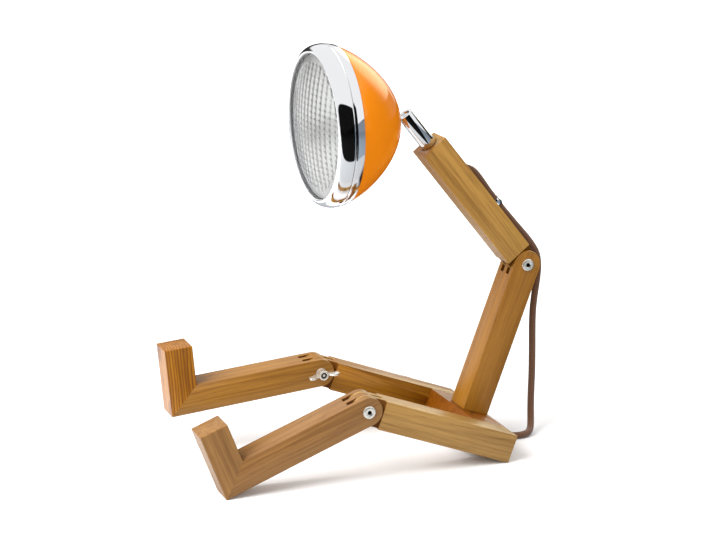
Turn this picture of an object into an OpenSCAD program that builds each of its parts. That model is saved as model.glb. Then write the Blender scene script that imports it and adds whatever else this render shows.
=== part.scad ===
// Seated, jointed wooden desk lamp with a headlamp for a head.
// Millimetres. +Z is up, the lamp faces -Y, and its left side is +X.
// The origin lies on the floor, under the middle of the lamp.

/* [Bars] */
// Thickness of every wooden bar, front to back
bar_t = 28; // [24:1:34]
// Width of every wooden bar, side to side
bar_w = 30; // [26:1:40]
// Width over both thighs
hip_w = 162; // [140:1:200]
// Length of the hip block along the thighs
hip_l = 37.5; // [34:0.5:50]
// Thigh, from its rear end to the knee bolt
thigh_l = 160; // [130:1:200]
// Shin, from the knee bolt to the heel
shin_l = 156; // [130:1:200]
// Foot, from the heel to the toes
foot_l = 68; // [50:1:100]
// Torso, from the seat to the elbow bolt
torso_l = 156; // [130:1:200]
// Distance of the torso's back from the seat's rear edge
torso_set = 3; // [1:0.5:5]
// Upper arm, from the elbow bolt to its top end
arm_l = 160; // [158:1:200]

/* [Pose] */
// Slope of the thighs, rising towards the knees
thigh_tilt = 20.4; // [10:0.2:25]
// Dip of the raised right shin below level
right_dip = 5.2; // [0:0.2:12]
// Lean of the upper arm, forwards from upright
arm_lean = 38.8; // [30:0.2:45]
// Dip of the head below level
head_dip = 0.8; // [-4:0.2:8]

/* [Finger joints] */
// Gap between a rounded finger end and the shoulder that it turns past
shoulder_gap = 1; // [0.6:0.1:2]
// Gap between the side faces of two fingers
finger_gap = 0.2; // [0.1:0.05:0.4]
// Shank diameter of the joint bolts
bolt_d = 6; // [5:0.5:7]
// Clearance round a bolt shank, on the radius
bolt_clear = 0.05; // [0.02:0.01:0.1]
// Diameter of the bolt heads
bolt_head_d = 12.5; // [11:0.5:16]
// Height of the bolt heads
bolt_head_h = 2.2; // [1.5:0.1:4]
// Hexagon socket of the bolt heads, across corners
bolt_socket = 4.6; // [3:0.1:5]
// Length of bolt that shows past the wing nut
bolt_end = 1.5; // [0.5:0.5:4]
// Diameter of the washer under each wing nut
washer_d = 16; // [13:0.5:20]
// Thickness of that washer
washer_t = 1.4; // [1:0.1:2]
// Height of the wing nut's hub
nut_h = 8; // [5:0.5:10]
// Diameter of the hub's foot
nut_d = 10; // [9:0.5:13]
// Span over the two wings
nut_span = 32; // [26:1:36]
// Thickness of a wing
wing_t = 2.4; // [1.8:0.1:3]
// Running gap between a wing nut and its washer
nut_gap = 0.1; // [0.05:0.05:0.3]

/* [Joinery] */
// Diameter of the hip and torso dowels
dowel_d = 8; // [6:0.5:10]
// Length of the hip dowels
dowel_l = 36; // [24:1:44]
// Diameter of the torso and foot dowels
small_dowel_d = 6; // [5:0.5:7]
// Length of the torso and foot dowels
small_dowel_l = 24; // [16:1:28]
// Glue gap round a dowel and past its ends
glue_gap = 0.05; // [0.02:0.01:0.2]
// Diameter of the screw that holds the torso from below
screw_d = 5; // [4:0.5:6]
// Length of that screw
screw_l = 60; // [45:1:75]
// Head diameter of that screw
screw_head_d = 10; // [9:0.5:12]

/* [Neck] */
// Diameter of the chrome neck tube
neck_d = 16; // [14:0.5:18]
// Height of the ring that holds the tube down on its nipple
ring_h = 1.6; // [1:0.1:3]
// Wire of the spring under the ball's seat
spring_wire = 1.2; // [0.8:0.1:1.6]
// Turns of that spring
spring_turns = 7; // [4:1:10]
// Depth of the tube's seat in the arm
neck_seat = 12; // [10:1:16]
// Height of the ball's centre above the arm's end
ball_rise = 34; // [30:0.5:42]
// Diameter of the ball
ball_d = 12; // [10:0.2:12.2]
// Tube wall above the ball's centre
tube_over = 6.5; // [6.2:0.1:8]
// Wall of the tube round the ball
tube_wall = 1.7; // [1.5:0.1:2]
// Thickness of the tube's solid foot
tube_foot = 10; // [6:1:14]
// Clearance round the tube in its seat and round the nipple, on the radius
neck_clear = 0.06; // [0.03:0.01:0.1]
// Clearance round the ball, on the radius
ball_clear = 0.3; // [0.2:0.05:0.4]
// Diameter of the ball's stud
stud_d = 6.4; // [6:0.1:7]
// Bore through the stud
stud_bore = 3.2; // [2.4:0.1:3.6]
// Clearance of the stud in the tube's slot, each side
slot_clear = 0.4; // [0.3:0.05:0.6]
// Diameter of the threaded nipple under the tube
nipple_d = 10; // [8:0.5:11]
// Bore of the nipple
nipple_bore = 7; // [5:0.5:7]
// Diameter of the brass insert in the arm
insert_d = 14; // [13:0.5:16]
// Length of the brass insert
insert_l = 8; // [6:1:10]
// Thickness of the nylon washer under the tube
glide_t = 1; // [0.6:0.1:2]
// Running gap between that washer and the tube
glide_gap = 0.05; // [0.02:0.01:0.2]

/* [Head] */
// Gap from the ball's centre to the back of the bowl
bowl_back = 12.5; // [12:0.1:16]
// Depth of the enamelled bowl
bowl_depth = 61.2; // [50:0.2:80]
// Radius of the bowl at its rim
bowl_r = 75; // [70:0.5:85]
// Roundness of the bowl's back, 2 for an ellipse and less for a pointed back
bowl_round = 1.25; // [1.1:0.05:2]
// Wall of the bowl
bowl_t = 1.2; // [0.8:0.1:2]
// Depth of the chrome bezel in front of the bowl
bezel_depth = 23.8; // [20:0.2:32]
// How far the bezel stands out round the bowl's rim
bezel_out = 2.5; // [1.5:0.1:5]
// Inset of the bezel's front opening from the bowl's rim radius
bezel_in = 5; // [3:0.5:8]
// Length of the bezel's rear bead
bead_l = 7.1; // [5:0.1:9]
// Sheet thickness of the bezel
bezel_t = 1; // [0.8:0.1:1.4]
// Depth of the bezel's rolled front lip
lip_l = 2.4; // [2:0.1:4]
// Thickness of the lens at its rim
lens_t = 4; // [3:0.2:6]
// Rise of the lens at its middle
lens_rise = 9; // [4:0.5:11]
// Thickness of the rubber gasket behind the bezel's lip
gasket_t = 1.2; // [0.8:0.1:2]
// Clearance round the lens, on the radius
lens_clear = 0.5; // [0.3:0.1:1]
// Focal length of the reflector
focal = 27; // [24:0.5:32]
// Radius of the reflector's rear opening
reflector_hole = 15; // [13:0.5:18]
// Sheet thickness of the reflector
reflector_t = 0.8; // [0.6:0.1:1.2]
// Number of spring clips behind the reflector's rim
clips = 4; // [3:1:6]

/* [Lamp holder] */
// Diameter of the ceramic lamp holder
holder_d = 22; // [20:0.5:24]
// Length of the lamp holder
holder_l = 20; // [16:1:24]
// Diameter of the bulb
bulb_d = 15; // [12:0.5:18]
// Length of the bulb in front of its holder
bulb_l = 40; // [30:1:42]
// Height of the bracket cup under the holder
cup_h = 8; // [7:0.5:12]
// Sheet thickness of the bracket cup
cup_t = 1.2; // [1:0.1:1.6]

/* [Cord] */
// Diameter of the textile cord
cord_d = 7; // [6:0.5:7.5]
// Distance of the cord's outlet from the elbow bolt, along the arm
outlet_at = 117; // [100:1:122]
// Slant of the outlet hole against the arm's back
outlet_slant = 35; // [30:1:45]
// Wall of the bush in the outlet
bush_wall = 1.2; // [0.8:0.1:2]
// Clearance round the cord in the bush and the saddle, on the radius
cord_clear = 0.2; // [0.1:0.05:0.4]
// Distance of the saddle's middle from the elbow bolt
saddle_at = 67; // [55:1:80]
// Length of the saddle along the arm
saddle_l = 8; // [6:0.5:12]
// Sheet thickness of the saddle
saddle_t = 1; // [0.8:0.1:1.5]
// Turns in one layer of the stored coil
coil_turns = 3; // [2:1:4]
// Layers of the stored coil
coil_layers = 2; // [1:1:3]
// Middle radius of the coil
coil_r = 33; // [30:1:40]
// Thickness of the straps round the coil
tie_t = 0.8; // [0.5:0.1:1.5]

/* [Switch and plug] */
// Length of the in-line switch
switch_l = 58; // [52:1:70]
// Width of the in-line switch
switch_w = 20; // [18:1:26]
// Height of the in-line switch
switch_h = 12.6; // [12:0.2:16]
// Wall of the switch's two halves
switch_wall = 1.6; // [1.2:0.1:2]
// Length of the rocker
rocker_l = 16; // [12:1:20]
// Width of the rocker
rocker_w = 9; // [7:0.5:12]
// Tilt of the rocker to either side
rocker_tilt = 8; // [5:1:10]
// Gap round the rocker
rocker_gap = 0.4; // [0.3:0.1:0.8]
// Length of the plug's body
plug_l = 34; // [30:1:40]
// Width of the plug's body
plug_w = 34; // [30:1:40]
// Thickness of the plug's body
plug_t = 13.6; // [12:0.2:16]
// Diameter of a plug pin
pin_d = 4; // [3.8:0.1:4.8]
// Length of a plug pin
pin_l = 19; // [17:0.5:19]
// Distance between the pins
pin_pitch = 19; // [18:0.1:19]

/* [Hidden] */
$fn = 64;

// Half thicknesses, and the five equal layers of a finger joint
half_t = bar_t / 2;
half_w = bar_w / 2;
layer = bar_w / 5;
shoulder = half_t + shoulder_gap;
leg_x = hip_w / 2 - half_w;

// The left heel stands on the floor, which settles the left shin's dip
knee_y = -thigh_l * cos(thigh_tilt) + half_t * sin(thigh_tilt);
knee_z = thigh_l * sin(thigh_tilt) + half_t * cos(thigh_tilt);
left_dip = asin(knee_z / norm([shin_l, half_t])) - atan(half_t / shin_l);
elbow_u = bar_t + torso_l;
elbow_v = torso_set + half_t;
elbow_y = elbow_u * sin(thigh_tilt) - elbow_v * cos(thigh_tilt);

// The lamp is centred on the origin from its left toes to its elbow's back
function toe_y(dip) = knee_y - shin_l * cos(dip) - (foot_l - half_t) * sin(dip);
y_shift = -(min(toe_y(left_dip), toe_y(right_dip)) + elbow_y + half_t) / 2;

// Neck and ball, along the arm from the elbow bolt
ball_at = arm_l + ball_rise;
tube_low = arm_l - neck_seat + glide_t + glide_gap;
tube_high = ball_at + tube_over;
tube_bore_r = neck_d / 2 - tube_wall;
collar_r = ball_d / 2 * 0.77;
collar_low = ball_at + sqrt(pow(ball_d / 2 + ball_clear, 2) - pow(collar_r, 2));
stud_angle = 90 + head_dip - arm_lean;
tilt_most = 96;
slot_w = stud_d + 2 * slot_clear;
nipple_low = arm_l - neck_seat - insert_l;
ring_at = tube_low + tube_foot + 0.1;
seat_low = ball_at - ball_d / 2 - 5;

// Head, along its own axis from the ball's centre
rim_z = bowl_back + bowl_depth;
front_z = rim_z + bezel_depth;
open_r = bowl_r - bezel_in;
ring_r = bowl_r + bezel_out;
bulge_l = bezel_depth - bead_l;
lens_r = bowl_r - 2.2;
lens_z = front_z - lip_l - gasket_t - lens_t;
hem_l = 7;
hem_r = bowl_r - 1.5;
cup_r = holder_d / 2 + 1;
stud_end = bowl_back + bowl_t + cup_t + 6;
cup_floor = bowl_back + bowl_t + 0.4;
holder_z = cup_floor + cup_h;
bulb_z = holder_z + holder_l;
reflector_rim = lens_z - reflector_t;
reflector_apex = reflector_rim - pow(lens_r, 2) / (4 * focal);
washer_under = 1.2;

// Cord: the outlet's mouth is on the arm's back, and the hole runs up to the arm's bore
lead_d = 4;
outlet_rise = half_t / tan(outlet_slant);
bore_low = outlet_at + outlet_rise;
cord_r = cord_d / 2;
on_back = half_t + cord_r + cord_clear;
saddle_low = saddle_at - saddle_l / 2;

// Route points, chosen by hand. On the arm: height from the elbow bolt, and distance from its axis
ARM_ROUTE = [[135.6, 1], [127, 7], [121, 11.2], [116.5, 14.3], [112, 17.1], [107, 18.5], [101, 18.8],
    [94, 18.6], [86, 18.1], [78, 17.8], [70.5, 17.8], [63, 17.8]];
// From the saddle over the elbow, down to the floor and round into the switch
DROP_ROUTE = [[0, 146.7, 238.5], [0, 150.4, 233.8], [0, 156.6, 226.6], [0, 163.5, 218.5],
    [0, 170.5, 210.5], [0, 177.2, 202.8], [0, 183.6, 194.4], [0, 188.7, 185.2], [0, 190.6, 175],
    [0, 190.5, 165], [0, 189.3, 154], [0, 187.6, 142], [0, 186.4, 130], [0, 186, 118], [0, 186.1, 104],
    [0, 186.4, 90], [0, 186.6, 75], [0, 186.6, 60], [0, 186.3, 46], [0.3, 186, 33],
    [1.5, 185.5, 21.5], [4.8, 184.2, 12.2], [10.4, 181, 6.2], [16, 175.5, 4], [18.8, 168, 3.6],
    [18.6, 160, 3.6], [15.2, 153, 3.7], [9, 147.4, 4.1], [1, 143, 4.9], [-7, 140, 5.7],
    [-15, 138.8, 6.3], [-20, 138.8, 6.3]];
// From the switch to the coil
TAIL_ROUTE = [[-70, 138.8, 6.3], [-75, 138.8, 6.3], [-84, 138.6, 5.7], [-94, 137, 4.8],
    [-104, 133.8, 4.3], [-113, 130.2, 4.3], [-122, 127.7, 4.3]];
// From the coil's outer turn over its top to the plug, which lies on the coil
PLUG_ROUTE = [[-130, 127.8, 11.3], [-140, 125.4, 12.5], [-150, 119.2, 14.9], [-158, 110, 17.2],
    [-163, 99, 18.5], [-164.4, 87, 19.1], [-164, 76, 19.7], [-160.2, 66, 20.6], [-154.6, 59, 21.4],
    [-149.6, 55.8, 21.6], [-145.5, 55, 21.6]];
coil_at = [-128, 88];
switch_at = [-45, 138.8];
plug_at = [-145, 55];
RING_SIDES = 10;

// Rocker and switch
rocker_z = switch_h - 5;
rocker_rise = 5.4;
rocker_room = rocker_l + 2 * rocker_gap + 2 * (rocker_rise + 1) * sin(rocker_tilt);
parting_z = switch_h / 2;
entry_r = cord_r + cord_clear;
screw_x = switch_l / 2 - 12;

OAK = [0.70, 0.50, 0.27];
OAK_DARK = [0.60, 0.40, 0.20];
CHROME = [0.82, 0.83, 0.85];
NICKEL = [0.78, 0.76, 0.70];
BRASS = [0.78, 0.62, 0.30];
ENAMEL = [0.97, 0.55, 0.08];
BROWN = [0.36, 0.22, 0.13];
NYLON = [0.88, 0.87, 0.82];
GLASS = [0.88, 0.90, 0.90, 0.5];
BLACK = [0.08, 0.08, 0.08];

// ---- frames -------------------------------------------------------------

// The seat's frame: -Y runs along the thighs, Z along the torso, origin at the rear bottom edge
module in_seat()
    translate([0, y_shift, 0])
        rotate([-thigh_tilt, 0, 0])
            children();

// A shin's frame: origin at the knee bolt, -Y to the heel; side is 1 for left and -1 for right
module in_shin(side, dip)
    in_seat()
        translate([side * leg_x, -thigh_l, half_t])
            rotate([thigh_tilt + dip, 0, 0])
                children();

module in_left_shin() in_shin(1, left_dip) children();
module in_right_shin() in_shin(-1, right_dip) children();

// The arm's frame: origin at the elbow bolt, Z along the arm, -Y to its front
module in_arm()
    in_seat()
        translate([0, -elbow_v, elbow_u])
            rotate([thigh_tilt + arm_lean, 0, 0])
                children();

// The head's frame: origin at the ball's centre, Z forwards through the lens
module in_head()
    in_arm()
        translate([0, 0, ball_at])
            rotate([stud_angle, 0, 0])
                children();

// Extrudes a side view, drawn with Y to the right and Z up, from x0 to x1
module slab(x0, x1)
    translate([x0, 0, 0])
        rotate([90, 0, 90])
            linear_extrude(x1 - x0)
                children();

// ---- finger joints ------------------------------------------------------

// One end of a joint in side view: a bar that comes from below and ends round about the origin
module finger_outline()
    union() {
        circle(half_t);
        translate([-half_t, -shoulder - 0.01])
            square([bar_t, shoulder + 0.01]);
    }

// Fingers in the given layers, 0 to 4 counted from -X. Outer faces stay flush with the bar.
module fingers(which)
    for (i = which) {
        x0 = -half_w + i * layer + (i == 0 ? 0 : finger_gap / 2);
        x1 = -half_w + (i + 1) * layer - (i == 4 ? 0 : finger_gap / 2);
        slab(x0, x1) finger_outline();
    }

module bolt_hole()
    rotate([0, 90, 0])
        cylinder(r = bolt_d / 2 + bolt_clear, h = bar_w + 2, center = true);

// Bolt along X: its head on the +X face, its end past the wing nut on the other side
module joint_bolt() {
    grip = bar_w + washer_t + nut_gap + nut_h + bolt_end;
    color(NICKEL)
        difference() {
            union() {
                translate([half_w, 0, 0])
                    rotate([0, 90, 0])
                        rotate_extrude()
                            polygon([[0, 0], [bolt_head_d / 2, 0], [bolt_head_d / 2, bolt_head_h * 0.5],
                                [bolt_head_d / 2 - 1, bolt_head_h], [0, bolt_head_h]]);
                translate([half_w - grip, 0, 0])
                    rotate([0, 90, 0])
                        cylinder(d = bolt_d, h = grip + 0.5);
            }
            translate([half_w + bolt_head_h - 2.6, 0, 0])
                rotate([0, 90, 0])
                    cylinder(d = bolt_socket, h = 3, $fn = 6);
        }
}

module joint_washer()
    color(NICKEL)
        translate([-half_w - washer_t, 0, 0])
            rotate([0, 90, 0])
                difference() {
                    cylinder(d = washer_d, h = washer_t);
                    translate([0, 0, -1])
                        cylinder(r = bolt_d / 2 + bolt_clear, h = washer_t + 2);
                }

// Wing nut on the -X side, its wings turned by the given angle about the bolt
module wing_nut(turn)
    color(NICKEL)
        translate([-half_w - washer_t - nut_gap, 0, 0])
            rotate([turn, 0, 0])
                rotate([0, -90, 0])
                    difference() {
                        union() {
                            cylinder(d1 = nut_d, d2 = nut_d - 1.2, h = nut_h, $fn = 48);
                            for (s = [-1, 1])
                                rotate([90, 0, 0])
                                    translate([0, 0, -wing_t / 2])
                                        linear_extrude(wing_t)
                                            wing_outline(s);
                        }
                        translate([0, 0, -1])
                            cylinder(r = bolt_d / 2 + bolt_clear, h = nut_h + 2);
                    }

// One wing in its own plane: X away from the bolt, Y along it
module wing_outline(s) {
    tip = nut_span / 2;
    lobe = nut_h * 0.55;
    union() {
        polygon([[s * (bolt_d / 2 + 1), 0.8], [s * (nut_d / 2), 0.8], [s * (tip - 2), nut_h - lobe + 1.4],
            [s * (tip - lobe), nut_h + lobe], [s * (bolt_d / 2 + 1), nut_h - 1.6]]);
        translate([s * (tip - lobe), nut_h])
            circle(lobe);
    }
}

// ---- seat and torso -----------------------------------------------------

dowel_ys = [-hip_l * 0.28, -hip_l * 0.74];
module hip_dowel_set(d, l)
    for (side = [-1, 1], y = dowel_ys)
        translate([side * (hip_w / 2 - bar_w) - l / 2, y, half_t])
            rotate([0, 90, 0])
                cylinder(d = d, h = l);

module torso_dowel_set(d, l)
    for (side = [-1, 1])
        translate([side * (half_w - 5), -elbow_v, bar_t - l / 2])
            cylinder(d = d, h = l);

// Countersunk screw, head down at z = 0
module seat_screw(extra) {
    head_r = screw_head_d / 2 + extra;
    cone_h = (screw_head_d - screw_d) / 2;
    translate([0, -elbow_v, 0])
        union() {
            cylinder(r1 = head_r, r2 = screw_d / 2 + extra, h = cone_h);
            cylinder(r = screw_d / 2 + extra, h = screw_l + extra);
        }
}

module hip_block()
    color(OAK)
        in_seat()
            difference() {
                translate([-(hip_w / 2 - bar_w), -hip_l, 0])
                    cube([hip_w - 2 * bar_w, hip_l, bar_t]);
                hip_dowel_set(dowel_d + 2 * glue_gap, dowel_l + 2 * glue_gap);
                torso_dowel_set(small_dowel_d + 2 * glue_gap, small_dowel_l + 2 * glue_gap);
                seat_screw(glue_gap);
            }

// A thigh: a bar from the rear end to the shoulder, with two fingers at the knee
module thigh(side)
    color(OAK)
        in_seat()
            difference() {
                translate([side * leg_x, 0, 0])
                    union() {
                        translate([-half_w, -(thigh_l - shoulder), 0])
                            cube([bar_w, thigh_l - shoulder, bar_t]);
                        translate([0, -thigh_l, half_t])
                            difference() {
                                rotate([90, 0, 0])
                                    fingers([1, 3]);
                                bolt_hole();
                            }
                    }
                hip_dowel_set(dowel_d + 2 * glue_gap, dowel_l + 2 * glue_gap);
            }

module left_thigh() thigh(1);
module right_thigh() thigh(-1);

module hip_dowels()
    color(OAK_DARK)
        in_seat()
            hip_dowel_set(dowel_d, dowel_l);

module torso_bar()
    color(OAK_DARK)
        in_seat()
            difference() {
                translate([0, -elbow_v, elbow_u])
                    difference() {
                        union() {
                            translate([-half_w, -half_t, -torso_l])
                                cube([bar_w, bar_t, torso_l - shoulder]);
                            fingers([0, 2, 4]);
                        }
                        bolt_hole();
                    }
                torso_dowel_set(small_dowel_d + 2 * glue_gap, small_dowel_l + 2 * glue_gap);
                seat_screw(glue_gap);
            }

module torso_dowels()
    color(OAK)
        in_seat()
            torso_dowel_set(small_dowel_d, small_dowel_l);

module torso_screw()
    color(NICKEL)
        in_seat()
            seat_screw(0);

module at_elbow()
    in_seat()
        translate([0, -elbow_v, elbow_u])
            children();

module elbow_bolt() at_elbow() joint_bolt();
module elbow_washer() at_elbow() joint_washer();
module elbow_wing_nut() at_elbow() wing_nut(thigh_tilt);

// ---- shins and feet -----------------------------------------------------

// Two dowels square through the mitre, at its middle
module foot_dowel_set(d, l)
    for (side = [-1, 1])
        translate([side * half_w / 2, -(shin_l - half_t), 0])
            rotate([-45, 0, 0])
                cylinder(d = d, h = l, center = true);

// The shin runs from the shoulder to a mitre at the heel, with three fingers at the knee
module shin()
    color(OAK_DARK)
        difference() {
            union() {
                slab(-half_w, half_w)
                    polygon([[-shoulder, -half_t], [-shoulder, half_t], [-(shin_l - bar_t), half_t],
                        [-shin_l, -half_t]]);
                rotate([-90, 0, 0])
                    fingers([0, 2, 4]);
            }
            bolt_hole();
            foot_dowel_set(small_dowel_d + 2 * glue_gap, small_dowel_l + 2 * glue_gap);
        }

module foot()
    color(OAK)
        difference() {
            slab(-half_w, half_w)
                polygon([[-shin_l, -half_t], [-(shin_l - bar_t), half_t],
                    [-(shin_l - bar_t), foot_l - half_t], [-shin_l, foot_l - half_t]]);
            foot_dowel_set(small_dowel_d + 2 * glue_gap, small_dowel_l + 2 * glue_gap);
        }

module left_shin() in_left_shin() shin();
module left_foot() in_left_shin() foot();
module left_foot_dowels() color(OAK) in_left_shin() foot_dowel_set(small_dowel_d, small_dowel_l);
module left_knee_bolt() in_left_shin() joint_bolt();
module left_knee_washer() in_left_shin() joint_washer();
module left_knee_wing_nut() in_left_shin() wing_nut(60);

module right_shin() in_right_shin() shin();
module right_foot() in_right_shin() foot();
module right_foot_dowels() color(OAK) in_right_shin() foot_dowel_set(small_dowel_d, small_dowel_l);
module right_knee_bolt() in_right_shin() mirror([1, 0, 0]) joint_bolt();
module right_knee_washer() in_right_shin() mirror([1, 0, 0]) joint_washer();
module right_knee_wing_nut() in_right_shin() mirror([1, 0, 0]) wing_nut(90);

// ---- upper arm and neck -------------------------------------------------

// Places children on the outlet's axis: Z leaves the arm downwards and backwards
module on_outlet_axis()
    translate([0, half_t, outlet_at])
        rotate([-(180 - outlet_slant), 0, 0])
            children();

bush_r = cord_r + cord_clear + bush_wall;
bush_l = outlet_rise * 0.6 / cos(outlet_slant);

module upper_arm()
    color(OAK)
        in_arm()
            difference() {
                union() {
                    translate([-half_w, -half_t, shoulder])
                        cube([bar_w, bar_t, arm_l - shoulder]);
                    rotate([180, 0, 0])
                        fingers([1, 3]);
                }
                bolt_hole();
                translate([0, 0, arm_l - neck_seat])
                    cylinder(r = neck_d / 2 + neck_clear, h = neck_seat + 1);
                translate([0, 0, arm_l - 1.2])
                    cylinder(r = neck_d / 2 + 1, h = 2);
                translate([0, 0, nipple_low])
                    cylinder(d = insert_d, h = insert_l + 1);
                translate([0, 0, bore_low])
                    cylinder(d = lead_d + 1, h = arm_l - bore_low);
                on_outlet_axis()
                    translate([0, 0, -bush_l])
                        cylinder(r = bush_r, h = bush_l + 20);
                on_outlet_axis()
                    translate([0, 0, -half_t / sin(outlet_slant)])
                        cylinder(r = cord_r + cord_clear, h = half_t / sin(outlet_slant));
                saddle_screw_set(1.2, 7);
            }

// Brass insert that the nipple screws into
module neck_insert()
    color(BRASS)
        in_arm()
            translate([0, 0, nipple_low])
                difference() {
                    cylinder(d = insert_d, h = insert_l);
                    translate([0, 0, -1])
                        cylinder(d = nipple_d, h = insert_l + 2);
                }

// Hollow threaded nipple that the tube turns on
module neck_nipple()
    color(BRASS)
        in_arm()
            translate([0, 0, nipple_low])
                difference() {
                    cylinder(d = nipple_d, h = ring_at + ring_h - nipple_low);
                    translate([0, 0, -1])
                        cylinder(d = nipple_bore, h = ball_at);
                }

module neck_glide()
    color(NYLON)
        in_arm()
            translate([0, 0, arm_l - neck_seat])
                difference() {
                    cylinder(r = neck_d / 2, h = glide_t);
                    translate([0, 0, -1])
                        cylinder(r = nipple_d / 2 + neck_clear, h = glide_t + 2);
                }

// Round retaining ring on the nipple's upper end
module nipple_ring()
    color(BRASS)
        in_arm()
            translate([0, 0, ring_at])
                difference() {
                    cylinder(r = tube_bore_r - 0.3, h = ring_h);
                    translate([0, 0, -1])
                        cylinder(d = nipple_d, h = ring_h + 2);
                }

// Nylon seat, dished to the ball
module ball_seat()
    color(NYLON)
        in_arm()
            difference() {
                translate([0, 0, seat_low])
                    cylinder(r = tube_bore_r - 0.1, h = 7);
                translate([0, 0, ball_at])
                    sphere(r = ball_d / 2 + ball_clear / 2);
                translate([0, 0, seat_low - 1])
                    cylinder(d = lead_d + 1, h = 10);
            }

// Compression spring between the nipple's ring and the ball's seat
module seat_spring() {
    low = ring_at + ring_h + spring_wire / 2 + 0.2;
    rise = seat_low - 0.1 - spring_wire / 2 - low;
    steps = spring_turns * 14;
    mean_r = tube_bore_r - 0.7 - spring_wire / 2;
    color(NICKEL)
        in_arm()
            swept_tube([for (i = [0 : steps])
                let (a = 360 * i / 14)
                [mean_r * cos(a), mean_r * sin(a), low + rise * i / steps]],
                spring_wire / 2, true, 6);
}

// Twin lead on the arm's axis, from the cord's end to just under the ball
module arm_lead()
    color(NYLON)
        in_arm()
            translate([0, 0, bore_low])
                cylinder(d = lead_d, h = ball_at - ball_d / 2 - 0.5 - bore_low);

module neck_tube()
    color(CHROME)
        in_arm()
            difference() {
                translate([0, 0, tube_low])
                    cylinder(d = neck_d, h = tube_high - tube_low);
                translate([0, 0, tube_low - 1])
                    cylinder(r = nipple_d / 2 + neck_clear, h = tube_foot + 2);
                translate([0, 0, tube_low + tube_foot])
                    cylinder(r = tube_bore_r, h = collar_low - tube_low - tube_foot);
                translate([0, 0, ball_at])
                    cylinder(r = collar_r, h = tube_over + 1);
                stud_slot();
            }

// Slot in the tube's front, from its open top down to the stud's lowest place
module stud_slot() {
    low = ball_at + (neck_d / 2) * cos(tilt_most);
    translate([0, -neck_d / 2 - 1, low])
        rotate([-90, 0, 0])
            cylinder(d = slot_w, h = neck_d / 2 + 1);
    translate([-slot_w / 2, -neck_d / 2 - 1, low])
        cube([slot_w, neck_d / 2 + 1, tube_high - low + 1]);
}

module cord_bush()
    color(BLACK)
        in_arm()
            intersection() {
                on_outlet_axis()
                    translate([0, 0, -bush_l])
                        difference() {
                            cylinder(r = bush_r - glue_gap, h = bush_l + 20);
                            translate([0, 0, -1])
                                cylinder(r = cord_r + cord_clear, h = bush_l + 30);
                        }
                translate([-half_w, -half_t, shoulder])
                    cube([bar_w, bar_t, arm_l - shoulder]);
            }

// Bridge-shaped saddle over the cord, with a screw through each foot
saddle_r = cord_r + cord_clear;
saddle_foot = 6;
module saddle_screw_set(r, l)
    for (side = [-1, 1])
        translate([side * (saddle_r + saddle_t + saddle_foot / 2), half_t + saddle_t, saddle_at])
            rotate([90, 0, 0])
                cylinder(r = r, h = l + saddle_t);

module cord_saddle()
    color(CHROME)
        in_arm()
            difference() {
                translate([0, 0, saddle_low])
                    linear_extrude(saddle_l)
                        difference() {
                            union() {
                                translate([0, on_back])
                                    circle(saddle_r + saddle_t);
                                translate([-saddle_r - saddle_t, half_t])
                                    square([2 * (saddle_r + saddle_t), on_back - half_t]);
                                translate([-saddle_r - saddle_t - saddle_foot, half_t])
                                    square([2 * (saddle_r + saddle_t + saddle_foot), saddle_t]);
                            }
                            translate([0, on_back])
                                circle(saddle_r);
                            translate([-saddle_r, half_t - 1])
                                square([2 * saddle_r, on_back - half_t + 1]);
                        }
                saddle_screw_set(1.2, 7);
            }

module saddle_screws()
    color(NICKEL)
        in_arm() {
            saddle_screw_set(1.2 - glue_gap, 6);
            for (side = [-1, 1])
                translate([side * (saddle_r + saddle_t + saddle_foot / 2), half_t + saddle_t, saddle_at])
                    rotate([-90, 0, 0])
                        cylinder(r1 = 2.3, r2 = 1.4, h = 1);
        }

// ---- head ---------------------------------------------------------------

// The bowl's curve from its rim to its back, for a radius and a depth
function bowl_curve(r, depth, back, steps = 15) =
    [for (i = [0 : steps])
        let (a = 90 * i / steps)
        [r * sqrt(1 - pow(sin(a), bowl_round)), back + depth * (1 - sin(a))]];
function reversed(list) = [for (i = [len(list) - 1 : -1 : 0]) list[i]];

module ball_stud()
    color(CHROME)
        in_head()
            difference() {
                union() {
                    sphere(d = ball_d);
                    cylinder(d = stud_d, h = stud_end);
                }
                translate([0, 0, -ball_d])
                    cylinder(d = stud_bore, h = stud_end + 2 * ball_d);
            }

// Lead through the stud to the lamp holder
module head_lead()
    color(NYLON)
        in_head()
            translate([0, 0, 1 - ball_d / 2])
                cylinder(r = stud_bore / 2 - glue_gap, h = holder_z - 1 + ball_d / 2);

module stud_washer()
    color(CHROME)
        in_head()
            translate([0, 0, bowl_back - washer_under + 0.3])
                difference() {
                    cylinder(d = stud_d + 4, h = washer_under - 0.3);
                    translate([0, 0, -1])
                        cylinder(r = stud_d / 2 + glue_gap, h = washer_under + 2);
                }

module stud_nut()
    color(NICKEL)
        in_head()
            translate([0, 0, cup_floor + cup_t])
                difference() {
                    cylinder(d = stud_d * 1.85, h = 5, $fn = 6);
                    translate([0, 0, -1])
                        cylinder(r = stud_d / 2 + glue_gap, h = 7);
                }

// Spun bowl with a stepped-in hem that goes under the bezel
module head_bowl()
    color(ENAMEL)
        in_head()
            difference() {
                rotate_extrude($fn = 96)
                    polygon(concat(
                        [[hem_r, rim_z], [hem_r, rim_z + hem_l], [hem_r - bowl_t, rim_z + hem_l]],
                        [[hem_r - bowl_t, rim_z - bowl_t]],
                        bowl_curve(bowl_r - bowl_t - 0.9, bowl_depth - 2 * bowl_t, bowl_back + bowl_t),
                        reversed(bowl_curve(bowl_r, bowl_depth, bowl_back))));
                translate([0, 0, bowl_back - 5])
                    cylinder(r = stud_d / 2 + glue_gap, h = 12);
                bezel_screw_hole();
            }

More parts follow.
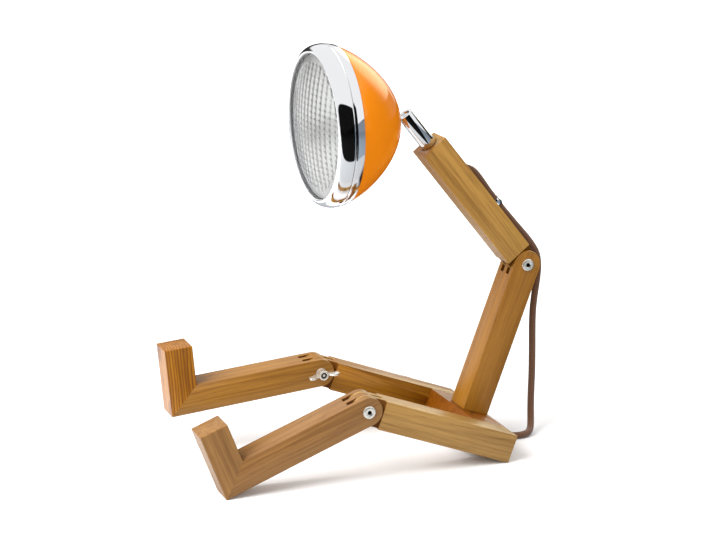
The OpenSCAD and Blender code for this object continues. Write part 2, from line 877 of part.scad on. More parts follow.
module bracket_cup()
    color(NICKEL)
        in_head()
            translate([0, 0, cup_floor])
                difference() {
                    union() {
                        cylinder(r = stud_d, h = cup_t);
                        translate([0, 0, cup_t])
                            cylinder(r = cup_r, h = cup_h - cup_t);
                    }
                    translate([0, 0, 2 * cup_t])
                        cylinder(r = cup_r - cup_t, h = cup_h);
                    translate([0, 0, cup_t])
                        cylinder(r = stud_d, h = cup_h);
                    translate([0, 0, -1])
                        cylinder(r = stud_d / 2 + glue_gap, h = cup_h);
                }

module lamp_holder()
    color(NYLON)
        in_head()
            translate([0, 0, holder_z])
                difference() {
                    cylinder(d = holder_d, h = holder_l);
                    translate([0, 0, holder_l - 8])
                        cylinder(d = bulb_d * 0.6, h = 9);
                }

module bulb()
    color(GLASS)
        in_head()
            translate([0, 0, bulb_z])
                union() {
                    translate([0, 0, -7])
                        cylinder(d = bulb_d * 0.6 - 0.4, h = 8);
                    cylinder(d = bulb_d, h = bulb_l - bulb_d / 2);
                    translate([0, 0, bulb_l - bulb_d / 2])
                        sphere(d = bulb_d);
                }

// Parabolic reflector with a flat rim
module reflector() {
    steps = 12;
    curve = [for (i = [0 : steps])
        let (r = reflector_hole + (lens_r - 3 - reflector_hole) * i / steps)
        [r, reflector_apex + r * r / (4 * focal)]];
    color(CHROME)
        in_head()
            rotate_extrude($fn = 96)
                polygon(concat(
                    curve,
                    [[lens_r - 2, reflector_rim], [lens_r - 0.5, reflector_rim]],
                    [[lens_r - 0.5, reflector_rim + reflector_t]],
                    [[lens_r - 3, reflector_rim + reflector_t]],
                    [for (i = [steps : -1 : 0]) curve[i] + [-0.3, reflector_t]]));
}

// Lens: a flat rim and a domed middle, hollow behind
module lens() {
    flat_r = open_r - 1.6;
    color(GLASS)
        in_head()
            rotate_extrude($fn = 96)
                polygon(concat(
                    [[0, lens_z + lens_rise], [0, lens_z + lens_t + lens_rise]],
                    [for (i = [1 : 11])
                        let (a = i * 7.5)
                        [flat_r * sin(a), lens_z + lens_t + lens_rise * (1 - pow(sin(a), 2))]],
                    [[flat_r, lens_z + lens_t], [lens_r, lens_z + lens_t], [lens_r, lens_z],
                     [flat_r - 2, lens_z]],
                    [for (i = [11 : -1 : 1])
                        let (a = i * 7.5)
                        [(flat_r - 2) * sin(a), lens_z + lens_rise * (1 - pow(sin(a), 2))]]));
}

module lens_gasket()
    color(BLACK)
        in_head()
            translate([0, 0, lens_z + lens_t])
                difference() {
                    cylinder(r = lens_r - 0.8, h = gasket_t, $fn = 96);
                    translate([0, 0, -1])
                        cylinder(r = open_r - 0.4, h = gasket_t + 2, $fn = 96);
                }

// Outer line of the bezel, front to rear: a quarter-round bulge, a crease and a bead
function bulge(e) =
    [for (a = [0 : 10 : 90])
        [open_r + (ring_r - open_r - e) * sin(a), front_z - bulge_l * (1 - cos(a)) - e * cos(a)]];
function bead(e) =
    [for (i = [0 : 6])
        let (u = i / 6)
        [ring_r - 0.9 + 0.9 * sin(20 + 130 * u) - (u > 0.6 ? (u - 0.6) * 4 : 0) - e,
         front_z - bulge_l - bead_l * u]];

module bezel_ring()
    color(CHROME)
        in_head()
            difference() {
                rotate_extrude($fn = 96)
                    polygon(concat(
                        [[open_r - 1.2, front_z - lip_l], [open_r - 1.2, front_z - 0.5]],
                        [[open_r - 0.6, front_z]],
                        bulge(0), bead(0), reversed(bead(bezel_t)), reversed(bulge(bezel_t)),
                        [[open_r, front_z - lip_l]]));
                bezel_screw_hole();
            }

// Spring clips that press the reflector and the lens against the bezel's lip
module bezel_clips()
    color(NICKEL)
        in_head()
            for (i = [0 : clips - 1])
                rotate([0, 0, 45 + i * 360 / clips - 6])
                    rotate_extrude(angle = 12, $fn = 96)
                        translate([lens_r - 1.4, reflector_rim - 1])
                            square([ring_r - bezel_t - 1 - (lens_r - 1.4), 1]);

// Screw at the bottom that ties the bezel to the bowl's hem
bezel_screw_z = rim_z + bead_l * 0.45;
module bezel_screw_hole()
    translate([0, 0, bezel_screw_z])
        rotate([90, 0, 0])
            rotate([0, 0, 0])
                translate([0, 0, hem_r - 6])
                    cylinder(r = 1.55, h = 20);

module bezel_screw()
    color(NICKEL)
        in_head()
            translate([0, 0, bezel_screw_z])
                rotate([90, 0, 0])
                    union() {
                        translate([0, 0, hem_r - 5])
                            cylinder(r = 1.5, h = ring_r - hem_r + 5.5);
                        translate([0, 0, ring_r])
                            cylinder(r1 = 2.6, r2 = 2, h = 1.2);
                    }

// ---- cord ---------------------------------------------------------------

// Unit tangent at point i of a route
function route_tangent(p, i) =
    let (a = p[max(i - 1, 0)], b = p[min(i + 1, len(p) - 1)])
    (b - a) / norm(b - a);

// One ring of the tube round a point, square to a tangent that never runs along X
function tube_ring(c, t, r, m) =
    let (u = cross(t, [1, 0, 0.0001]), un = u / norm(u), v = cross(t, un))
    [for (k = [0 : m - 1])
        let (a = 360 * k / m)
        c + r * (cos(a) * un + sin(a) * v)];

// A ring square to a tangent that never runs along Z
function flat_ring(c, t, r, m) =
    let (u = cross(t, [0, 0.0001, 1]), un = u / norm(u), v = cross(t, un))
    [for (k = [0 : m - 1])
        let (a = 360 * k / m)
        c + r * (cos(a) * un + sin(a) * v)];

// Closed tube through a route's points
module swept_tube(p, r, flat = false, m = RING_SIDES) {
    n = len(p);
    rings = [for (i = [0 : n - 1])
        let (t = route_tangent(p, i))
        each (flat ? flat_ring(p[i], t, r, m) : tube_ring(p[i], t, r, m))];
    sides = [for (i = [0 : n - 2], k = [0 : m - 1])
        [i * m + k, i * m + (k + 1) % m, (i + 1) * m + (k + 1) % m, (i + 1) * m + k]];
    polyhedron(
        points = rings,
        faces = concat(
            [[for (k = [m - 1 : -1 : 0]) k]],
            sides,
            [[for (k = [0 : m - 1]) (n - 1) * m + k]]),
        convexity = 8);
}

module cord_on_arm()
    color(BROWN)
        in_arm()
            swept_tube([for (p = ARM_ROUTE) [0, p[1], p[0]]], cord_r);

module cord_drop() color(BROWN) swept_tube(DROP_ROUTE, cord_r);
module cord_tail() color(BROWN) swept_tube(TAIL_ROUTE, cord_r, true);
module plug_lead() color(BROWN) swept_tube(PLUG_ROUTE, cord_r, true);

// The coil's outer shape, lying on its straps
coil_half = coil_turns * cord_d / 2;
coil_h = coil_layers * cord_d;
module cord_coil()
    color(BROWN)
        translate([coil_at[0], coil_at[1], tie_t])
            rotate_extrude()
                translate([coil_r - coil_half, 0])
                    square([2 * coil_half, coil_h]);

module coil_straps()
    color(BLACK)
        translate([coil_at[0], coil_at[1], 0])
            for (turn = [30, 185, 330])
                rotate([0, 0, turn])
                    rotate_extrude(angle = 16)
                        difference() {
                            translate([coil_r - coil_half - tie_t, 0])
                                square([2 * (coil_half + tie_t), coil_h + 2 * tie_t]);
                            translate([coil_r - coil_half, tie_t])
                                square([2 * coil_half, coil_h]);
                        }

// ---- switch and plug ----------------------------------------------------

// Plan of the switch: straight sides and round ends
module switch_plan(inset)
    union() {
        square([switch_l - switch_w, switch_w - 2 * inset], center = true);
        for (s = [-1, 1])
            translate([s * (switch_l - switch_w) / 2, 0])
                circle(switch_w / 2 - inset);
    }

module cord_way()
    translate([0, 0, parting_z])
        rotate([0, 90, 0])
            cylinder(r = entry_r, h = switch_l + 2, center = true);

module switch_screw_set(r, low, high)
    for (s = [-1, 1])
        translate([s * screw_x, s * (switch_w / 2 - 4), low])
            cylinder(r = r, h = high - low);

module at_switch() translate([switch_at[0], switch_at[1], 0]) children();

module switch_base()
    color(BLACK)
        at_switch()
            difference() {
                linear_extrude(parting_z) switch_plan(0);
                translate([0, 0, switch_wall])
                    linear_extrude(parting_z)
                        square([switch_l - switch_w - 8, switch_w - 2 * switch_wall - 4], center = true);
                cord_way();
                switch_screw_set(1.3, -1, parting_z + 1);
                switch_screw_set(2.5, -1, 1.6);
            }

module switch_cover()
    color(BLACK)
        at_switch()
            difference() {
                union() {
                    translate([0, 0, parting_z])
                        linear_extrude(switch_h - 1.6 - parting_z) switch_plan(0);
                    translate([0, 0, switch_h - 1.6])
                        linear_extrude(1.6) switch_plan(1.2);
                }
                translate([0, 0, parting_z - 1])
                    linear_extrude(switch_h - switch_wall - parting_z + 1)
                        square([switch_l - switch_w - 8, switch_w - 2 * switch_wall - 4], center = true);
                translate([0, 0, switch_h])
                    cube([rocker_room, rocker_w + 2 * rocker_gap, 8], center = true);
                cord_way();
                switch_screw_set(1.1, parting_z - 1, switch_h - 3);
            }

// Rocker on a pivot along Y, at rest with its +X end pressed
module switch_rocker()
    color(BLACK)
        at_switch()
            translate([0, 0, rocker_z])
                rotate([0, rocker_tilt, 0]) {
                    translate([0, rocker_w / 2, 0])
                        rotate([90, 0, 0])
                            linear_extrude(rocker_w)
                                polygon([[-rocker_l / 2, 2.6], [-rocker_l / 2, rocker_rise + 1],
                                    [0, rocker_rise], [rocker_l / 2, rocker_rise + 1],
                                    [rocker_l / 2, 2.6], [3, 0.6], [-3, 0.6]]);
                    rotate([90, 0, 0])
                        cylinder(r = 1.5, h = switch_w - 2 * switch_wall - 4 - 0.4, center = true);
                }

module switch_screws()
    color(NICKEL)
        at_switch()
            union() {
                switch_screw_set(1.1 - glue_gap, 1, switch_h - 3.2);
                switch_screw_set(2.3, 0.1, 1.5);
            }

module at_plug()
    translate([plug_at[0], plug_at[1], tie_t + coil_h + plug_t / 2])
        rotate([0, 0, 90])
            children();

// Flat two-pin plug: its tail at the origin, its pins towards -Y before it is turned on the coil
module plug_body()
    color(BLACK)
        at_plug()
            difference() {
                translate([0, 0, -plug_t / 2])
                    linear_extrude(plug_t)
                        polygon([[-cord_r - 2, 0], [-plug_w * 0.3, -plug_l * 0.28],
                            [-plug_w / 2, -plug_l * 0.55], [-plug_w / 2, -plug_l],
                            [plug_w / 2, -plug_l], [plug_w / 2, -plug_l * 0.55],
                            [plug_w * 0.3, -plug_l * 0.28], [cord_r + 2, 0]]);
                plug_pin_set(pin_d + 2 * glue_gap);
            }

module plug_pin_set(d)
    for (s = [-1, 1])
        translate([s * pin_pitch / 2, -plug_l + 12, 0])
            rotate([90, 0, 0])
                cylinder(d = d, h = 12 + pin_l);

module plug_pins() color(BRASS) at_plug() plug_pin_set(pin_d);

// ---- nodes --------------------------------------------------------------

hip_block();
left_thigh();
right_thigh();
torso_bar();
hip_dowels();
torso_dowels();
torso_screw();
elbow_bolt();
elbow_washer();
elbow_wing_nut();
left_shin();
left_foot();
left_foot_dowels();
left_knee_bolt();
left_knee_washer();
left_knee_wing_nut();
right_shin();
right_foot();
right_foot_dowels();
right_knee_bolt();
right_knee_washer();
right_knee_wing_nut();
upper_arm();
neck_insert();
neck_nipple();
neck_glide();
arm_lead();
cord_bush();
cord_saddle();
saddle_screws();
nipple_ring();
neck_tube();
ball_seat();
seat_spring();
ball_stud();
head_lead();
stud_washer();
stud_nut();
head_bowl();
bracket_cup();
lamp_holder();
bulb();
reflector();
lens();
lens_gasket();
bezel_ring();
bezel_clips();
bezel_screw();
cord_on_arm();
cord_drop();
cord_tail();
cord_coil();
coil_straps();
plug_lead();
switch_base();
switch_cover();
switch_rocker();
switch_screws();
plug_body();
plug_pins();
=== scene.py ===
# %% [markdown]
# # A seated desk lamp of oak bars, in Blender
#
# The lamp sits on the table like a small figure. Square oak bars are its hips, legs, torso and
# arm, joined with bolts and wing nuts. A chrome tube is its neck and a round headlamp its head.
# This lesson dresses the lamp's CAD model: each cell makes one piece or one finish.
#
# The first cell loads the CAD model as a fixed frame. Every piece made later is placed in the
# same space, in metres, with +Z up and the lamp facing -Y.

import math
from contextlib import contextmanager

import bmesh
import bpy
from mathutils import Matrix, Vector


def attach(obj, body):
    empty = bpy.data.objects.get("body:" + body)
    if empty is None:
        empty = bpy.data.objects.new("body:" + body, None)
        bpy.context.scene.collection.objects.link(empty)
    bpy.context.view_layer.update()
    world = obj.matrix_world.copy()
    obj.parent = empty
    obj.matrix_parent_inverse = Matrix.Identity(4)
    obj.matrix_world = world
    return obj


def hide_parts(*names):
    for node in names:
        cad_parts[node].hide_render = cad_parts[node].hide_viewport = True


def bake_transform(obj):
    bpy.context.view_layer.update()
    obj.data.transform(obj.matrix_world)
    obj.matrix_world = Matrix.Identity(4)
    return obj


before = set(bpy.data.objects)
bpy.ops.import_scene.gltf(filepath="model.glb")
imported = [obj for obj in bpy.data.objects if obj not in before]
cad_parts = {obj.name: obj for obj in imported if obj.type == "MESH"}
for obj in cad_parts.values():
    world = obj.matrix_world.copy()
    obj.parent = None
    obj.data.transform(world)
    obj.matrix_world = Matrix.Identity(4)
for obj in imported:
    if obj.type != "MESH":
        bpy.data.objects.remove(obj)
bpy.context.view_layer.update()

# %% [markdown]
# ## Places of the lamp's limbs
#
# Each limb leans at its own angle, but every one of them only turns about the X axis. So a limb's
# place is a point and one angle. Pieces are drawn upright in millimetres, in their limb's own
# space, and then carried to the limb by a matrix. That is far easier than drawing them aslant.

# %% Limb spaces
MM = 0.001
SEAT_AT, SEAT_TURN = (0, 123.9376, 0), -20.4
LEFT_KNEE_AT, LEFT_DIP = (66, -21.1475, 68.8935), 20.9666
RIGHT_KNEE_AT, RIGHT_DIP = (-66, -21.1475, 68.8935), 5.2
ELBOW_AT, ARM_TURN = (0, 172.1411, 178.3856), 38.8
BALL_AT, HEAD_TURN = (0, 50.5799, 329.5772), 90.8


def limb(at, turn):
    place = Matrix.Translation(Vector(at) * MM)
    return place @ Matrix.Rotation(math.radians(turn), 4, "X")


SEAT = limb(SEAT_AT, SEAT_TURN)
LEFT_LEG = limb(LEFT_KNEE_AT, LEFT_DIP)
RIGHT_LEG = limb(RIGHT_KNEE_AT, RIGHT_DIP)
ELBOW = limb(ELBOW_AT, 0)
ARM = limb(ELBOW_AT, ARM_TURN)
HEAD = limb(BALL_AT, HEAD_TURN)
print("ball of the neck at", [round(v, 4) for v in HEAD.translation])

# %% [markdown]
# ## The camera
#
# A camera is set by a place, a direction and a lens. Here the direction is given as the three
# axes of the view: right, up and back. A long lens, 103 mm, looks from two metres away, so the
# lamp's bars stay nearly parallel, as they do in a catalogue picture.

# %% Camera
camera = bpy.data.objects.new("camera", bpy.data.cameras.new("camera"))
bpy.context.scene.collection.objects.link(camera)
camera.data.sensor_width = 36
camera.data.lens = 102.62
view_axes = Matrix(
    ((0.35774, 0.93382, 0), (-0.23237, 0.08902, 0.96855), (0.90445, -0.34648, 0.24884))
)
CAMERA_AT = Vector((1.77719, -0.68211, 0.67445))
camera.matrix_world = Matrix.Translation(CAMERA_AT) @ view_axes.transposed().to_4x4()
bpy.context.scene.camera = camera
print("the camera stands", round(CAMERA_AT.length, 2), "m from the lamp")

# %% [markdown]
# ## The cord's way
#
# The lamp hangs on 1.6 m of round textile cord, 7 mm thick. It leaves the arm's back through a
# slanted hole, goes under a metal saddle, falls behind the torso and runs along the table into
# the switch. The rest is wound into a coil, and the plug lies on the coil.
#
# A cord keeps its length, so its middle line comes first. Listed points give the free
# stretches, and the coil is worked out: five turns in two layers, each turn beside or above the
# last, a cord's thickness apart.

# %% The cord's middle line
CORD_D = 7.0
ARM_WAY = [(131, 4.4), (127, 7), (121, 11.2), (116.5, 14.3), (112, 17.1), (107, 18.5)]
ARM_WAY += [(101, 18.8), (94, 18.6), (86, 18.1), (78, 17.8), (70.5, 17.8), (63, 17.8)]
DROP_WAY = [(0, 146.7, 238.5), (0, 150.4, 233.8), (0, 156.6, 226.6), (0, 163.5, 218.5)]
DROP_WAY += [(0, 170.5, 210.5), (0, 177.2, 202.8), (0, 183.6, 194.4), (0, 188.7, 185.2)]
DROP_WAY += [(0, 190.6, 175), (0, 190.5, 165), (0, 189.3, 154), (0, 187.6, 142)]
DROP_WAY += [(0, 186.4, 130), (0, 186, 118), (0, 186.1, 104), (0, 186.4, 90), (0, 186.6, 75)]
DROP_WAY += [(0, 186.6, 60), (0, 186.3, 46), (0.3, 186, 33), (1.5, 185.5, 21.5)]
DROP_WAY += [(4.8, 184.2, 12.2), (10.4, 181, 6.2), (16, 175.5, 4), (18.8, 168, 3.6)]
DROP_WAY += [(18.6, 160, 3.6), (15.2, 153, 3.7), (9, 147.4, 4.1), (1, 143, 4.9)]
DROP_WAY += [(-7, 140, 5.7), (-15, 138.8, 6.3), (-20, 138.8, 6.3), (-45, 138.8, 6.3)]
TAIL_WAY = [(-70, 138.8, 6.3), (-75, 138.8, 6.3), (-84, 138.6, 5.7), (-94, 137, 4.8)]
TAIL_WAY += [(-104, 133.8, 4.3), (-113, 130.4, 4.3), (-122, 128.1, 4.3)]
PLUG_WAY = [(-140, 125.4, 12.5), (-150, 119.2, 14.9), (-158, 110, 17.2)]
PLUG_WAY += [(-163, 99, 18.5), (-164.4, 87, 19.1), (-164, 76, 19.7), (-160.2, 66, 20.6)]
PLUG_WAY += [(-154.6, 59, 21.4), (-149.6, 55.8, 21.6), (-143, 55, 21.6)]
COIL_AT = (-128, 88)
# Each stage of the winding: where it ends, in degrees, and the radius and height there
WINDING = [(90, 40, 4.3), (390, 40, 4.3), (435, 33, 4.3), (750, 33, 4.3), (795, 26, 4.3)]
WINDING += [(1065, 26, 4.3), (1110, 26, 11.3), (1380, 26, 11.3), (1425, 33, 11.3)]
WINDING += [(1740, 33, 11.3), (1785, 40, 11.3), (1890, 40, 11.3)]


def coil_point(turned):
    for (a0, r0, z0), (a1, r1, z1) in zip(WINDING, WINDING[1:]):
        if turned <= a1:
            share = (turned - a0) / (a1 - a0)
            eased = share * share * (3 - 2 * share)
            radius, height = r0 + (r1 - r0) * eased, z0 + (z1 - z0) * eased
            angle = math.radians(turned)
            x, y = COIL_AT[0] + radius * math.cos(angle), COIL_AT[1] + radius * math.sin(angle)
            return (x, y, height)


def smooth_way(points, step):
    """Catmull-Rom curve through the points, cut into steps of about one length."""
    way = []
    for i in range(len(points) - 1):
        a, b = points[max(i - 1, 0)], points[i]
        c, d = points[i + 1], points[min(i + 2, len(points) - 1)]
        line, curve, twist = c - a, 2 * a - 5 * b + 4 * c - d, 3 * b - a - 3 * c + d
        cuts = max(1, round((c - b).length / step))
        for t in (k / cuts for k in range(cuts)):
            way.append(0.5 * (2 * b + line * t + curve * t * t + twist * t**3))
    return way + [points[-1]]


arm_points = [ARM @ (Vector((0, h, z)) * MM) for z, h in ARM_WAY]
table_points = DROP_WAY + TAIL_WAY + [coil_point(90 + 15 * i) for i in range(121)] + PLUG_WAY
CORD_WAY = smooth_way(arm_points + [Vector(p) * MM for p in table_points], 1.6 * MM)
cord_length = sum((b - a).length for a, b in zip(CORD_WAY, CORD_WAY[1:]))
print("the cord is", round(cord_length, 3), "m long in", len(CORD_WAY), "steps")

# %% [markdown]
# ## The cord's tube
#
# A tube is a ring of points carried along the line. Each ring is turned as little as possible
# from the one before, so the weave doesn't twist. The UV map runs once round the cord in U, and
# along it in V, where one unit is one trip round. The braid's pattern can then be drawn square.


# %% Sweep the cord
def new_piece(name, points, faces, place=None):
    mesh = bpy.data.meshes.new(name)
    mesh.from_pydata([tuple(p) for p in points], [], faces)
    if place is not None:
        mesh.transform(place)
    mesh.shade_smooth()
    piece = bpy.data.objects.new(name, mesh)
    bpy.context.scene.collection.objects.link(piece)
    return piece


def sweep(name, way, radius, sides=12):
    points, faces, marks, run = [], [], [0.0], (way[1] - way[0]).normalized()
    side = run.orthogonal().normalized()
    for i, at in enumerate(way):
        ahead = (way[min(i + 1, len(way) - 1)] - way[max(i - 1, 0)]).normalized()
        side = (side - ahead * side.dot(ahead)).normalized()
        other = ahead.cross(side)
        for k in range(sides):
            angle = 2 * math.pi * k / sides
            points.append(at + radius * (math.cos(angle) * side + math.sin(angle) * other))
        if i:
            marks.append(marks[-1] + (at - way[i - 1]).length / (2 * math.pi * radius))
    for i in range(len(way) - 1):
        for k in range(sides):
            a, b = i * sides + k, i * sides + (k + 1) % sides
            faces.append((a, b, b + sides, a + sides))
    last = (len(way) - 1) * sides
    faces += [tuple(reversed(range(sides))), tuple(last + k for k in range(sides))]
    tube = new_piece(name, points, faces)
    chart = tube.data.uv_layers.new(name="along")
    for face in tube.data.polygons[:-2]:
        row, column = divmod(face.index, sides)
        for loop, (du, dv) in zip(face.loop_indices, ((0, 0), (1, 0), (1, 1), (0, 1))):
            chart.data[loop].uv = ((column + du) / sides, marks[row + dv])
    return tube


cord = sweep("textile_cord", CORD_WAY, CORD_D / 2 * MM)
print("the cord's tube has", len(cord.data.polygons), "faces")

# %% [markdown]
# ## Working with nodes
#
# Every finish here is a small tree of nodes, and so is every pattern that repeats. Adding a
# node, setting its values and wiring its inputs always takes the same three lines, so one helper
# does it. An input that is given a socket is wired to it, and an input that is given a number or
# colour is set to it. A socket knows its own tree, so node maths can be written like plain
# maths: plus, minus and times.


# %% Node helpers
def wire(node, inputs):
    """Wires a node's inputs to sockets, and sets the others to numbers or colours."""
    for key, value in inputs.items():
        if isinstance(value, bpy.types.NodeSocket):
            node.id_data.links.new(value, node.inputs[key])
        else:
            node.inputs[key].default_value = value


def add_node(tree, kind, inputs=None, **settings):
    made = tree.nodes.new(kind)
    for key, value in settings.items():
        setattr(made, key, value)
    wire(made, inputs or {})
    return made


def new_tree(name, kind, inputs, outputs):
    """A tree with named inputs and outputs, each given by its kind or by a number."""
    tree = bpy.data.node_groups.new(name, kind)
    for way, sockets in (("INPUT", inputs), ("OUTPUT", outputs)):
        for socket, value in sockets.items():
            sort = value if isinstance(value, str) else "Float"
            made = tree.interface.new_socket(socket, in_out=way, socket_type="NodeSocket" + sort)
            if sort != value:
                made.default_value = value
    return tree, add_node(tree, "NodeGroupInput").outputs, add_node(tree, "NodeGroupOutput")


def calc(operation, *values, clamp=False):
    """One step of maths on one or two values, or on more of them from the left."""
    result = values[0]
    for value in values[1:] or (0.0,):
        tree = (result if isinstance(result, bpy.types.NodeSocket) else value).id_data
        made = add_node(tree, "ShaderNodeMath", {0: result, 1: value}, operation=operation)
        result = made.outputs[0]
    made.use_clamp = clamp
    return result


def plus(*values, clamp=False):
    return calc("ADD", *values, clamp=clamp)


def minus(a, b, clamp=False):
    return calc("SUBTRACT", a, b, clamp=clamp)


def times(*values):
    return calc("MULTIPLY", *values)


def remap(value, low, high, to_low=0.0, to_high=1.0, smooth=False):
    inputs = {0: value, 1: low, 2: high, 3: to_low, 4: to_high}
    style = "SMOOTHSTEP" if smooth else "LINEAR"
    made = add_node(value.id_data, "ShaderNodeMapRange", inputs, interpolation_type=style)
    return made.outputs[0]


def blend_colour(share, a, b):
    inputs = {0: share, 6: a, 7: b}
    return add_node(share.id_data, "ShaderNodeMix", inputs, data_type="RGBA").outputs[2]


def split_axes(vector):
    return add_node(vector.id_data, "ShaderNodeSeparateXYZ", {0: vector}).outputs


print("node helpers are ready")

# %% [markdown]
# ## Patterns in millimetres
#
# A pattern has to have the right scale on the real thing, so every one of them is drawn in
# millimetres. Object coordinates give the place in metres. A Mapping node centres them on a
# limb, turns them with it and scales them. Noise is then given by its steps per millimetre, and
# a bump by its depth in millimetres.


# %% Finish helpers
def new_finish(name, sockets):
    finish = bpy.data.materials.new(name)
    finish.use_nodes = True
    shader = finish.node_tree.nodes["Principled BSDF"]
    wire(shader, sockets)
    return finish, finish.node_tree, shader


def object_mm(tree, at=(0, 0, 0), turn=0.0):
    """Object coordinates in millimetres, centred and turned on a limb."""
    inputs = {"Vector": add_node(tree, "ShaderNodeTexCoord").outputs["Object"]}
    inputs |= {"Location": [v * MM for v in at], "Rotation": (math.radians(turn), 0, 0)}
    inputs["Scale"] = (MM, MM, MM)
    return add_node(tree, "ShaderNodeMapping", inputs, vector_type="TEXTURE").outputs[0]


def noise(vector, scale, detail=2.0, rough=0.5):
    """Noise on a position in millimetres; scale is its steps per millimetre on each axis."""
    tree, steps = vector.id_data, scale if isinstance(scale, tuple) else (scale,) * 3
    sized = add_node(tree, "ShaderNodeVectorMath", {0: vector, 1: steps}, operation="MULTIPLY")
    inputs = {"Vector": sized.outputs[0], "Scale": 1.0, "Detail": detail, "Roughness": rough}
    return add_node(tree, "ShaderNodeTexNoise", inputs).outputs["Fac"]


def face_mark(tree, name):
    """Reads the 0 or 1 that some pieces write on their faces."""
    return add_node(tree, "ShaderNodeAttribute", attribute_name=name).outputs["Fac"]


def relief(shader, height, depth, coat=False):
    """Bump from a height of 0 to 1, with its depth in millimetres."""
    bump = add_node(shader.id_data, "ShaderNodeBump", {"Height": height, "Distance": depth * MM})
    wire(shader, {"Normal": bump.outputs[0]})
    if coat:
        wire(shader, {"Coat Normal": bump.outputs[0]})


print("finish helpers are ready")

# %% [markdown]
# ## Oak
#
# The bars are sawn from oak and rubbed with oil. Three things make oak look like oak: growth
# rings a few millimetres apart, which show as long flames on a bar's sides and as arcs on its
# ends; a band of open pores at the start of each ring, seen as short dark dashes; and slow
# changes of tone. All three are drawn in the bar's own space, with Y along the grain, so the
# pattern goes through the solid wood and meets itself at every edge.
#
# One node group holds the recipe. Each bar then has its own finish, with the tree's heart in
# another place and its own light and dark tones, as if each were cut from another plank. The hip
# block's tone is also made darker and deeper, as painted shade, since it sits between the thighs.


# %% Oak recipe
# The first colour is raw sawn oak, made darker as painted shade for the faces inside the joints;
# the second is the open pores.
SAWN_AND_SHADE, PORE = (0.115, 0.032, 0.006, 1), (0.085, 0.036, 0.012, 1)


def make_oak_recipe():
    inputs = {"Place": "Vector", "Heart X": "Float", "Heart Z": "Float", "Ring Width": "Float"}
    inputs |= {"Ring Depth": "Float", "Sawn And Shade": "Float", "Light": "Color", "Dark": "Color"}
    outputs = {"Colour": "Color", "Roughness": "Float", "Height": "Float"}
    tree, given, out = new_tree("oak_recipe", "ShaderNodeTree", inputs, outputs)
    place = given["Place"]
    # How far a point lies from the tree's heart, with slow wanders
    wander = noise(place, (0.022, 0.006, 0.022), 1.5)
    ripple = noise(place, (0.10, 0.012, 0.10), 1.0)
    axes = split_axes(place)
    lean = times(axes[1], 0.035)
    across = minus(plus(axes[0], lean), given["Heart X"])
    through = minus(plus(axes[2], lean), given["Heart Z"])
    radius = calc("SQRT", plus(times(across, across), times(through, through)))
    radius = plus(radius, times(wander, 14.0), times(ripple, 1.6))
    # Each ring starts with a dark band of early wood, here stronger and there weaker
    ring = calc("FRACT", calc("DIVIDE", radius, given["Ring Width"]))
    early = times(remap(ring, 0.0, 0.10, 0.0, 1.0, True), remap(ring, 0.10, 0.42, 1.0, 0.0, True))
    patch = noise(place, (0.09, 0.004, 0.09), 1.5)
    early = times(early, remap(patch, 0.35, 0.62, 0.1, 1.25))
    fibre = noise(place, (1.5, 0.03, 1.5), 3.0, 0.6)
    streak = noise(place, (0.30, 0.006, 0.30), 2.0)
    tone = noise(place, (0.05, 0.008, 0.05), 1.0)
    pores = remap(noise(place, (2.4, 0.11, 2.4), 2.0, 0.6), 0.56, 0.70)
    pores = times(pores, remap(early, 0.0, 1.0, 0.25, 1.0))
    dark = times(early, given["Ring Depth"])
    dark = plus(dark, remap(fibre, 0.3, 0.7, -0.16, 0.50))
    dark = plus(dark, remap(streak, 0.35, 0.7, -0.18, 0.48))
    dark = plus(dark, remap(tone, 0.3, 0.7, -0.15, 0.30), clamp=True)
    wood = blend_colour(dark, given["Light"], given["Dark"])
    # A joint's inner faces blend to the dark sawn colour, which is raw wood and painted shade at
    # once.
    wood = blend_colour(times(given["Sawn And Shade"], 0.8), wood, SAWN_AND_SHADE)
    colour = blend_colour(times(pores, 0.55), wood, PORE)
    rough = plus(remap(fibre, 0.3, 0.7, 0.30, 0.44), times(pores, 0.2))
    height = minus(times(fibre, 0.35), pores)
    wire(out, {"Colour": colour, "Roughness": rough, "Height": height})
    return tree


oak_recipe = make_oak_recipe()
print("oak recipe has", len(oak_recipe.nodes), "nodes")


# %% Oak finish
def oak_finish(name, at, turn, heart, tone, width=2.4, depth=0.35, spread=1.0):
    """tone: the bar's mean colour; spread: how far its light and its dark wood lie apart."""
    finish, tree, shader = new_finish(name, {})
    # Faces inside a joint take the sawn colour and lose most of their shine: raw wood, and painted
    # shade in the joint's gaps.
    cut = face_mark(tree, "sawn_and_shade")
    light = [v * (1 + k * spread) for v, k in zip(tone, (0.22, 0.26, 0.32))] + [1]
    deep = [v * (1 - k * spread) for v, k in zip(tone, (0.34, 0.42, 0.54))] + [1]
    values = {"Place": object_mm(tree, at, turn), "Sawn And Shade": cut, "Light": light, "Dark": deep}
    values |= {"Heart X": heart[0], "Heart Z": heart[1], "Ring Width": width, "Ring Depth": depth}
    bar = add_node(tree, "ShaderNodeGroup", values, node_tree=oak_recipe).outputs
    wire(shader, {"Base Color": bar["Colour"], "Roughness": bar["Roughness"]})
    wire(shader, {"Specular IOR Level": remap(cut, 0, 1, 0.42, 0.05)})
    relief(shader, bar["Height"], 0.12)
    return finish


print("a bar's finish takes its place, its tree's heart and its tone")
